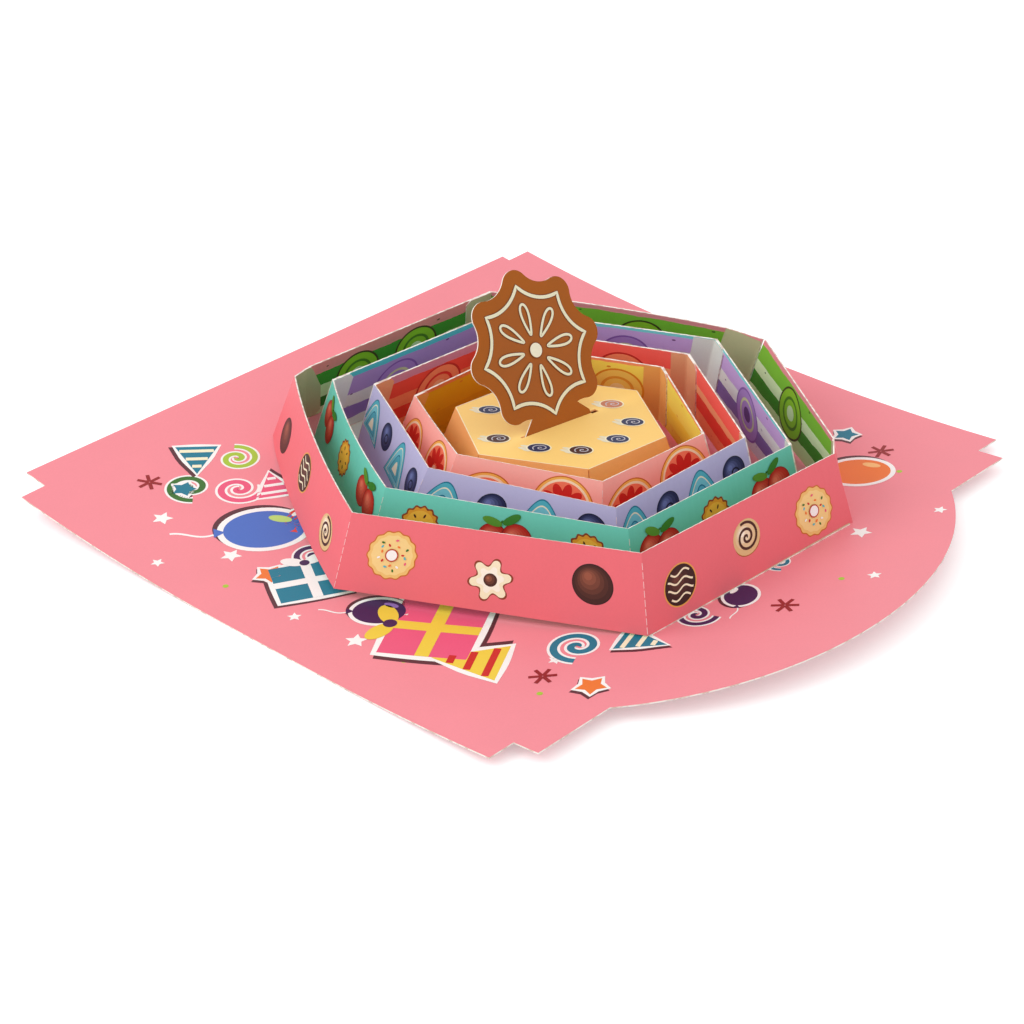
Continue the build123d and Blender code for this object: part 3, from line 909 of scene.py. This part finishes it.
def front_strip(collar, colours):
    """The strip round the front, with its motifs outside and plain facets and tabs at its ends."""
    folds = [fold(collar, letter) for letter in letters_of(collar, "JABCDE")]
    folds = with_tabs(collar, folds, "H", "F", (collar.left_tab, collar.left_tab))
    crest = letters_of(collar, "JABCDE").index("B") + 1
    cut = "left" if collar.name == "pink" else "plain"
    strip = Strip(folds, cut, "front", seated=(crest + 1,), bows={crest - 1: collar.left_bow}, zero=crest)
    piece = Piece(collar.name + "_front_strip_card")
    strip.add_to(piece)
    add_plain(piece, strip, [(strip.at[0], strip.at[crest - 1]), (strip.at[crest + 2], strip.at[-1])])
    number = 0
    for start, end in zip(strip.at[crest - 1:], strip.at[crest:crest + 3]):
        for layers in motifs_along(start, end, collar.name, number):
            print_on(piece, slot_ink, strip.place, layers)
            number += 1
    for place in strip.at[crest:crest + 2]:
        crease_line(piece, strip, place)
    foot_tab(piece, folds[crest + 1][1], folds[crest + 2][1])
    return piece.build(card_materials(collar.name, colours), [collar.name + "_front_strip"])


def add_plain(piece, strip, spans):
    """Plain patches on the inside of a strip, where its facets and tabs carry no print."""
    for start, end in spans:
        run = np.linspace(start, end, max(3, int((end - start) / column_step)))
        height = np.linspace(0, strip_width * 1.06, strip_rows)
        patch = np.stack(np.meshgrid(run, height), axis=-1)
        piece.grid(strip.place(patch, ink_lift, True), slot_tab)


def back_strip(collar, colours):
    """The strip round the back, with plain tabs at both ends and a plain margin next to its first fold."""
    folds = [fold(collar, letter) for letter in letters_of(collar, "FGH")]
    folds = with_tabs(collar, folds, letters_of(collar, "DE")[-1], "J", (collar.right_tab, collar.back_tab))
    wall = len(folds) - 3
    cut = "hidden" if collar.name == "pink" else "plain"
    strip = Strip(folds, cut, "plain", bows={wall: collar.back_bow})
    piece = Piece(collar.name + "_back_strip_card")
    strip.add_to(piece)
    add_plain(piece, strip, [(strip.at[0], strip.at[wall] + collar.margin * mm), (strip.at[wall + 1], strip.at[-1])])
    rounds_inside(piece, strip, collar.name, strip.at[wall:wall + 2], 1)
    return piece.build(card_materials(collar.name, colours), [collar.name + "_back_strip"])


def rounds_inside(piece, strip, name, ends, wall):
    """Ringed rounds on the inside of a wall, at their shares of its length."""
    inks = [linear(*colour) for colour in round_inks[name]]
    for share in round_shares[name][wall]:
        place = (ends[0] + (ends[1] - ends[0]) * share, strip_width * 0.5)
        layers = shapes_at(ringed_round(*inks), place, 0, 1.3)
        print_on(piece, slot_ink, lambda grid, lift: strip.place(grid, lift, True), layers)


def single_wall(collar, colours, start, end, node, seated):
    """One straight wall between two corners, printed on both faces."""
    strip = Strip([fold(collar, start), fold(collar, end)], seated=(0,) if seated else ())
    piece = Piece(collar.name + node + "_card")
    strip.add_to(piece)
    rounds_inside(piece, strip, collar.name, strip.at, 0 if seated else 2)
    if seated:
        far, near = fold(collar, start)[1], fold(collar, end)[1]
        way = unit(near - far) * max(collar.left_tab, collar.back_tab) * mm
        foot_tab(piece, far + way, near - way)
    # The seated wall is the left one, whose inside takes the darker bands with painted shade.
    materials = card_materials(collar.name, colours, left=seated)
    return piece.build(materials, [collar.name + node])


# The base sheet.


def base_bands():
    """The base in bands from front to back, each with the half widths of its rows about a centre."""
    low = tongue_centre[1] - tongue_radius
    share = 1 - np.cos(np.linspace(0, np.pi / 2, 24))
    tongue_rows = low + (-front_reach - low) * share
    half = np.sqrt(np.maximum(tongue_radius**2 - (tongue_rows - tongue_centre[1]) ** 2, 0))
    half[-1] = tongue_chord
    yield tongue_rows, tongue_centre[0] - half, tongue_centre[0] + half
    edges = (-front_reach, corner_notch - front_reach, back_reach - corner_notch, back_reach)
    for start, end, reach in zip(edges, edges[1:], (notched, spine_half, notched)):
        rows = np.linspace(start, end, max(2, int((end - start) / rim_step)))
        yield rows, np.full(len(rows), -reach), np.full(len(rows), reach)


def back_edge(x):
    """The back edge's place along Y: it was trimmed a little askew."""
    return back_reach - back_edge_skew * (x + notched) / (2 * notched)


def base_rim():
    """The base's outline as one closed path, counterclockwise from the tongue's left end."""
    swing = np.degrees(np.arcsin(tongue_chord / tongue_radius))
    tongue = arc(tongue_radius, -90 - swing, -90 + swing, 90) + tongue_centre
    front, back = -front_reach, back_reach
    low, high = front + corner_notch, back - corner_notch
    corners = [
        (notched, front), (notched, low), (spine_half, low), (spine_half, high), (notched, high),
        (notched, back_edge(notched)), (-notched, back), (-notched, high), (-spine_half, high), (-spine_half, low),
        (-notched, low), (-notched, front),
    ]
    path = [tongue]
    last = tongue[-1]
    for corner in [*corners, tongue[0]]:
        corner = np.array(corner)
        count = max(2, int(np.hypot(*(corner - last)) / rim_step))
        path.append(last + (corner - last) * np.linspace(0, 1, count)[1:, None])
        last = corner
    return np.concatenate(path)


def on_base(grid, lift):
    """Flat points laid on the base's printed face."""
    return np.stack([grid[..., 0], grid[..., 1], base_top(grid[..., 1]) + lift], axis=-1)


def sticker(outline, ink):
    """A print with a pale rim round it and a dark shadow to one side, as cut stickers look."""
    middle = outline[:-1].mean(axis=0)
    far = np.linalg.norm(outline - middle, axis=1, keepdims=True)
    rim = middle + (outline - middle) * (1 + 1.1 / far)
    return [(filled(rim + np.array([-0.9, -0.7])), shadow_ink), (filled(rim), white), (filled(outline), ink)]


def balloon(ink, shine):
    """A round balloon with its knot, string and shine."""
    string = np.stack([0.8 * np.sin(np.linspace(0, 5, 24)), np.linspace(-7.5, -16, 24)], axis=-1)
    knot = filled(corners_of([(-1.4, -8.6), (1.4, -8.6), (0, -6.6)]))
    return [stroke(string, 0.5, white), *sticker(ellipse(11.5, 14), ink), (knot, ink),
            oval(2.0, 4.2, shine, (-2.9, 2.9), -24)]


def gift(ink, band):
    """A wrapped box seen square on, with a ribbon and a bow."""
    return [
        *sticker(corners_of([(-8.0, -7.0), (8.0, -7.0), (8.0, 7.0), (-8.0, 7.0)]), ink),
        stroke([[0, -7.0], [0, 0], [0, 7.0]], 2.2, band),
        stroke([[-8.0, 0], [0, 0], [8.0, 0]], 2.2, band),
        oval(5.4, 3.0, band, (2.4, 8.2), 30),
        oval(5.4, 3.0, band, (-2.4, 8.2), -30),
        spot(1.1, plum, (0, 7.2), 20),
    ]


def pennant(ink, band):
    """A three cornered flag with bands across it."""
    bars = [stroke([[-w, h], [0, h], [w, h]], 1.3, band) for h, w in ((3.0, 4.4), (-0.6, 2.8), (-4.0, 1.2))]
    return [*sticker(corners_of([(-5.5, 5.0), (5.5, 5.0), (0.0, -7.5)]), ink), *bars]


def curl(ink):
    """A curled paper streamer."""
    return [stroke(coil(5.5, 1.6), width, each) for width, each in ((2.6, white), (1.5, ink))]


def base_motifs():
    """What is printed on the base, with its place in millimetres, its turn in degrees and its scale."""
    blue, shine = linear(78, 112, 196), linear(190, 220, 120)
    yield from (
        (curl(leaf), -63.0, 74.0, 20, 1.2), (pennant(deep_aqua, cream), -52.0, 84.0, -40, 1.1),
        (curl(rose), -54.0, 64.0, 120, 1.3), (curl(lime), -44.0, 76.0, 200, 1.1),
        (pennant(rose, white), -46.0, 58.0, 150, 1.0), (balloon(blue, shine), -62.5, 43.5, -128, 1.6),
        (balloon(linear(230, 70, 60), white), -52.0, 40.0, -60, 0.8), (gift(deep_aqua, white), -71.0, 15.0, -30, 1.25),
        (curl(plum), -62.0, 24.0, 60, 1.1), (balloon(plum, linear(150, 110, 180)), -70.0, -10.0, -140, 1.0),
        (gift(rose, yellow), -66.0, -27.0, 30, 1.7), (pennant(yellow, red_ink), -71.0, -46.0, -150, 1.5),
        (curl(deep_aqua), -50.0, -62.0, 0, 1.3), (pennant(deep_aqua, cream), -39.0, -73.0, 20, 1.0),
        (curl(plum), -21.0, -76.0, 80, 1.0), (balloon(plum, white), -7.0, -79.0, -60, 0.75),
        (balloon(orange, linear(250, 190, 120)), 63.5, -61.0, -140, 1.25), (curl(deep_aqua), 12.0, -76.0, 10, 0.7),
    )
    plain_star, small_star = [(filled(star(3.1, 1.5)), white)], [(filled(star(2.0, 0.95)), white)]
    spokes = [spun(np.array([[reach, 0.0] for reach in (0.2, 1.9, 3.6)]), turn) for turn in range(0, 360, 60)]
    rays = [stroke(spoke, 1.05, dark_red) for spoke in spokes]
    teal_star, orange_star = sticker(star(3.6, 2.1), deep_aqua), sticker(star(4.2, 2.4), orange)
    loose = (
        (plain_star, (-78.3, 67.6, 10), (-77.2, 40.3, 0), (-83.3, -15.6, 20), (36.7, -83.2, -10)),
        (small_star, (-58.3, -62.0, 5), (-86.0, 5.0, 30), (58.0, -93.0, 0), (20.0, -101.0, 25), (-93.0, 52.0, 0),
         (92.0, 30.0, 12)),
        (rays, (-69.5, 83.6, 0), (-65.7, -64.9, 15), (-4.7, -91.8, 5), (76.6, -58.4, 20), (88.0, 52.0, 0)),
        (teal_star, (-64.8, 74.5, 12)),
        (orange_star, (-76.3, 25.5, 0), (-61.9, -77.9, -15)),
        (teal_star, (78.8, -44.2, 0)),
        ([spot(0.8, lime, points=16)], (-88.0, 30.0, 0), (-72.0, -70.0, 0), (14.0, -95.0, 0), (70.0, -70.0, 0),
         (-82.0, -32.0, 0)),
    )
    for motif, *places in loose:
        for place in places:
            yield motif, *place, 1.0


class CARD_OT_base(bpy.types.Operator):
    """Builds the curled base sheet and its print"""

    bl_idname = "card.base"
    bl_label = "Base sheet"

    def execute(self, context):
        """Each band is a grid whose rows run along X, because the height depends on Y alone."""
        _, colours = settings()
        piece = Piece("base_sheet_card")
        across = np.linspace(0, 1, 30)[None, :]
        for rows, left, right in base_bands():
            x = left[:, None] + (right - left)[:, None] * across
            y = np.broadcast_to(rows[:, None], x.shape)
            if rows[-1] == back_reach:
                y = rows[0] + (back_edge(x) - rows[0]) * (y - rows[0]) / (rows[-1] - rows[0])
            top = on_base(np.stack([x, y], axis=-1), 0)
            piece.grid(top, 0, top[..., :2], flip=True)
            piece.grid(on_base(top, -card), 0, top[..., :2])
        rim = on_base(base_rim(), 0)
        piece.grid(np.stack([rim, rim - np.array([0, 0, card])]), 1)
        for layers, x, y, turn, scale in base_motifs():
            print_on(piece, 2, on_base, shapes_at(layers, np.array([x, y]) * mm, turn, scale))
        paper = shared(plain_card, "base_print", colours.base, 0.46, 0.04)
        piece.build([paper, shared(cut_edge, "cut_edge"), shared(ink_card, "ink")], ["base_sheet"])
        return {"FINISHED"}


class CARD_OT_collars(bpy.types.Operator):
    """Builds the four collars, each of four printed strips"""

    bl_idname = "card.collars"
    bl_label = "Collars"

    def execute(self, context):
        """Each strip is a set of columns from its upper to its lower edge, folded between leaning sides."""
        _, colours = settings()
        for collar in collars:
            front_strip(collar, colours)
            back_strip(collar, colours)
            single_wall(collar, colours, letters_of(collar, "DE")[-1], "F", "_right_wall", False)
            single_wall(collar, colours, "H", "J", "_left_wall", True)
        return {"FINISHED"}


def box_material(colours):
    """The box's print: pale orange on top, deeper on the sides folded down, told apart by the face's slope. The sides'
    colour also paints in light: it is set bright to make up for the shade the rings cast on them.
    """
    material, tree, shader = node_material("box_print")
    height = made(tree, "SeparateXYZ", Vector=made(tree, "NewGeometry")["Normal"])[2]
    upward = maths(tree, "GREATER_THAN", maths(tree, "ABSOLUTE", height), 0.8)
    # The sides take a bright colour that paints in light where the rings shade them; the top takes the box colour.
    paper_finish(tree, shader, blend_colours(tree, upward, linear(250, 176, 112), colours.box))
    return material


def topper_material(colours):
    """The cut-out's print: brown on its faces, bare card on its cut edges, told apart by the face's direction."""
    material, tree, shader = node_material("cookie_print")
    face = tree.nodes.new("ShaderNodeVectorMath")
    face.operation = "DOT_PRODUCT"
    wire(tree, face.inputs[0], made(tree, "NewGeometry")["True Normal"])
    face.inputs[1].default_value = tuple(topper_frame()[1][:, 2])
    printed = maths(tree, "GREATER_THAN", maths(tree, "ABSOLUTE", face.outputs["Value"]), 0.8)
    colour = blend_colours(tree, printed, linear(250, 240, 226), colours.cookie)
    paper_finish(tree, shader, colour, mottle=0.12)
    return material


def topper_frame():
    """The origin and axes of the cut-out's printed face: along, up and out of it."""
    turn, lean = np.radians(topper_turn), np.radians(topper_lean)
    along = np.array([np.cos(turn), np.sin(turn), 0])
    back = np.array([-np.sin(turn), np.cos(turn), 0])
    up = np.array([0, 0, np.cos(lean)]) + back * np.sin(lean)
    slope = box_frame[1][:, 2]
    rise = ((collar_centre_x - topper_place[0]) * slope[0] - topper_place[1] * slope[1]) / slope[2]
    return np.array([*topper_place, box_top + rise]), np.stack([along, up, np.cross(along, up)], axis=-1)


def level_points(local_frame, grid, level):
    """Flat points at a level of a local frame."""
    return out_of(local_frame, np.concatenate([grid, np.full((*grid.shape[:2], 1), level)], axis=-1))


def on_box(grid, lift):
    """Flat points laid on the box's top."""
    return level_points(box_frame, grid, lift)


def on_topper(grid, lift):
    """Flat points laid on the cut-out's front face."""
    return level_points(topper_frame(), grid, lift)


def behind_topper(grid, lift):
    """Flat points laid on the cut-out's back face, so that they face backwards."""
    return level_points(topper_frame(), grid, -card - lift)[:, ::-1]


def icing_star():
    """The outline of a star whose sides curve inwards from tip to tip, each an arc through its valley."""
    half = np.pi / star_tips
    across, out = star_tip_radius * np.sin(half), star_tip_radius * np.cos(half) - star_valley_radius
    radius = (out**2 + across**2) / (2 * out)
    swing = np.arcsin(across / radius)
    bend = np.linspace(-swing, swing, 14, endpoint=False)
    side = np.stack([star_valley_radius + radius - radius * np.cos(bend), radius * np.sin(bend)], axis=-1)
    turns = star_turn + 360 / star_tips * (np.arange(star_tips) + 0.5)
    path = np.concatenate([spun(side, turn) for turn in turns])
    return np.concatenate([path, path[:1]]) / mm


def icing():
    """The icing: a star line with its sides curved in, eight drop loops and a dot, on darker brown edges."""
    angle = np.linspace(0, 2 * np.pi, 60)
    drop = np.stack([8.7 + 4.3 * np.cos(angle), 1.75 * np.sin(angle) * (0.66 + 0.34 * np.cos(angle))], axis=-1)
    paths = [(icing_star(), 0.95)] + [(spun(drop, 45 * k + star_turn), 0.72) for k in range(star_tips)]
    shade = linear(128, 66, 26)
    dark = [stroke(path, width + 0.5, shade) for path, width in paths]
    pale = [stroke(path, width, linear(240, 236, 205)) for path, width in paths]
    inner = filled(icing_star()), linear(168, 90, 20)
    return shapes_at([inner, *dark, *pale, spot(2.25, shade), spot(2.0, linear(246, 242, 218))], round_centre)


def box_motifs():
    """Small dark ovals beside a dab of cream on the box's top, like dried fruit."""
    spots = ((-9.0, 18.4, navy), (-19.8, 3.6, cocoa), (-15.6, -8.0, navy), (-8.2, -16.6, cocoa),
             (4.0, -18.4, navy), (18.6, -1.6, linear(196, 120, 88)), (14.6, -13.6, navy))
    dabs = ((-3.4, 0.9, 3.4), (-4.2, -0.4, 3.0), (-3.2, -1.4, 2.6), (-2.6, 0.2, 3.2))
    for x, y, ink in spots:
        layers = [
            *(oval(size, 1.3, linear(236, 226, 196), (left, up), 160) for left, up, size in dabs),
            oval(6.9, 5.6, linear(250, 236, 200)),
            oval(6.1, 4.8, ink),
            stroke(coil(1.9, 1.6) * np.array([1.2, 1.0]) + np.array([0.5, 0.0]), 0.3, linear(200, 196, 204)),
        ]
        yield shapes_at(layers, np.array([x, y]) * mm, -44)


def edge_lines(corners):
    """The worn print along the box's folds: thin pale lines just inside its top's edges."""
    closed = np.concatenate([corners, corners[:1]]) / mm
    for start, end in zip(closed, closed[1:]):
        path = start + (end - start) * np.linspace(0.01, 0.99, 24)[:, None]
        inward = -(start + end) / np.linalg.norm(start + end) * 0.18
        yield shapes_at([stroke(path + inward, 0.26, linear(254, 236, 200))], (0, 0))


class CARD_OT_box(bpy.types.Operator):
    """Prints the middle box: its two colours, its worn edges and its small motifs"""

    bl_idname = "card.box"
    bl_label = "Box"

    def execute(self, context):
        """The CAD box keeps its mesh, and its print is a piece of its own on its top."""
        paint(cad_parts["cake_top_box"], box_material(settings()[1]))
        piece = Piece("cake_top_print")
        for layers in [*edge_lines(hexagon(box_half_spine, box_half_side, box_half_width)), *box_motifs()]:
            print_on(piece, 0, on_box, layers)
        piece.build([shared(ink_card, "ink")], [])
        return {"FINISHED"}


class CARD_OT_topper(bpy.types.Operator):
    """Prints the cut-out that stands in the box, on both faces"""

    bl_idname = "card.topper"
    bl_label = "Cut-out"

    def execute(self, context):
        """The CAD cut-out keeps its mesh, and its icing is a piece of its own on each face."""
        paint(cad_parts["cookie_topper"], topper_material(settings()[1]))
        piece = Piece("cookie_icing")
        for place in (on_topper, behind_topper):
            print_on(piece, 0, place, icing())
        piece.build([shared(ink_card, "ink")], [])
        return {"FINISHED"}


def paint(node, material):
    """Puts one material in all of a CAD node's slots."""
    for slot in node.material_slots:
        slot.material = material


def seen_rays(tree):
    """One for rays from the camera, mirrors and glass, and zero for those that only carry light."""
    path = made(tree, "LightPath")
    mirrored = maths(tree, "MAXIMUM", path["Is Glossy Ray"], path["Is Transmission Ray"])
    return maths(tree, "MAXIMUM", path["Is Camera Ray"], mirrored)


class CARD_OT_stage(bpy.types.Operator):
    """Sets up the floor, the light and the camera"""

    bl_idname = "card.stage"
    bl_label = "Stage"

    def execute(self, context):
        """The floor and the sky show white to the camera, and light the card evenly."""
        sizes, _ = settings()
        self.add_floor()
        self.add_sky(sizes.sky)
        self.add_lamp(sizes.lamp)
        self.add_camera()
        context.scene.view_settings.view_transform = "Standard"
        return {"FINISHED"}

    def add_floor(self):
        """A wide plane that shows white to the camera but keeps the card's soft shadow."""
        corners = [(-floor_reach, -floor_reach, 0), (floor_reach, -floor_reach, 0), (floor_reach, floor_reach, 0),
                   (-floor_reach, floor_reach, 0)]
        mesh = bpy.data.meshes.new("floor")
        mesh.from_pydata(corners, [], [(0, 1, 2, 3)])
        floor = bpy.data.objects.new("floor", mesh)
        floor.location.z = -hair_gap
        bpy.context.collection.objects.link(floor)
        material, tree, shader = node_material("floor")
        cloud = noise(tree, made(tree, "TexCoord")["Object"], 6)
        wire(tree, shader.inputs["Base Color"], blend_colours(tree, cloud, (0.90, 0.90, 0.90), (0.93, 0.93, 0.93)))
        shader.inputs["Roughness"].default_value = 0.8
        glow = made(tree, "Emission", Color=(1, 1, 1), Strength=maths(tree, "MULTIPLY", seen_rays(tree), 0.34))[0]
        both = tree.nodes.new("ShaderNodeAddShader")
        tree.links.new(shader.outputs[0], both.inputs[0])
        tree.links.new(glow, both.inputs[1])
        tree.links.new(both.outputs[0], tree.nodes["Material Output"].inputs["Surface"])
        mesh.materials.append(material)
        floor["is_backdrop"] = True

    def add_sky(self, strength):
        """An even white world, plain white where it is seen."""
        world = bpy.data.worlds.new("sky")
        world.use_nodes = True
        tree = world.node_tree
        ground = tree.nodes["Background"]
        ground.inputs["Color"].default_value = (1, 1, 1, 1)
        level = maths(tree, "MULTIPLY_ADD", seen_rays(tree), 1.0 - strength, strength)
        tree.links.new(level, ground.inputs["Strength"])
        bpy.context.scene.world = world

    def add_lamp(self, power):
        """A large soft lamp to the left of the picture, above the card."""
        lamp = bpy.data.lights.new("window", "AREA")
        lamp.shape = "RECTANGLE"
        lamp.size, lamp.size_y = lamp_size
        lamp.energy = power
        thing = bpy.data.objects.new("window", lamp)
        thing.matrix_world = looking(lamp_place, np.zeros(3))
        bpy.context.collection.objects.link(thing)

    def add_camera(self):
        """The camera at the photograph's distance, angle and roll about its target."""
        azimuth, height, roll = np.radians([camera_azimuth, camera_elevation, camera_roll])
        back = np.array([np.cos(height) * np.cos(azimuth), np.cos(height) * np.sin(azimuth), np.sin(height)])
        across = np.array([-np.sin(azimuth), np.cos(azimuth), 0])
        right = across * np.cos(roll) + np.cross(back, across) * np.sin(roll)
        lens = bpy.data.cameras.new("camera")
        lens.lens, lens.sensor_width = camera_lens, camera_sensor
        lens.clip_start = 0.01
        thing = bpy.data.objects.new("camera", lens)
        axes = np.stack([right, np.cross(back, right), back], axis=-1)
        thing.matrix_world = placed(axes, camera_target + back * camera_distance)
        bpy.context.collection.objects.link(thing)
        bpy.context.scene.camera = thing


def placed(axes, origin):
    """A matrix of three axes as columns and an origin."""
    whole = np.eye(4)
    whole[:3, :3] = axes
    whole[:3, 3] = origin
    return Matrix(whole.tolist())


def looking(eye, target):
    """A matrix at the eye whose -Z axis points to the target."""
    back = (eye - target) / np.linalg.norm(eye - target)
    across = np.cross([0, 0, 1], back)
    across /= np.linalg.norm(across)
    return placed(np.stack([across, np.cross(back, across), back], axis=-1), eye)


class CARD_PT_panel(bpy.types.Panel):
    """Lists the card's steps in the sidebar"""

    bl_idname = "CARD_PT_panel"
    bl_label = "Pop up card"
    bl_space_type = "VIEW_3D"
    bl_region_type = "UI"
    bl_category = "Pop up card"

    def draw(self, context):
        """One button for each step, under the sizes and colours."""
        for group in (context.scene.card_sizes, context.scene.card_colours):
            for name in group.__annotations__:
                self.layout.prop(group, name)
        for step in steps:
            self.layout.operator(step.bl_idname)


steps = (CARD_OT_stage, CARD_OT_base, CARD_OT_collars, CARD_OT_box, CARD_OT_topper)
classes = (CardSizes, CardColours, *steps, CARD_PT_panel)


def register():
    """Registers the classes and hangs the settings on the scene."""
    for each in classes:
        bpy.utils.register_class(each)
    bpy.types.Scene.card_sizes = bpy.props.PointerProperty(type=CardSizes)
    bpy.types.Scene.card_colours = bpy.props.PointerProperty(type=CardColours)


def unregister():
    """Takes the settings and the classes away again."""
    del bpy.types.Scene.card_sizes
    del bpy.types.Scene.card_colours
    for each in reversed(classes):
        bpy.utils.unregister_class(each)


def main():
    """Registers the add-on, runs its steps in order and works out the two sizes."""
    register()
    bpy.ops.card.stage()
    bpy.ops.card.base()
    bpy.ops.card.collars()
    bpy.ops.card.box()
    bpy.ops.card.topper()
    boxes = {"cad": cad_box, "visual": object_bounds()}
    plain = {name: [[float(v) for v in corner] for corner in box] for name, box in boxes.items()}


if __name__ == "__main__":
    main()
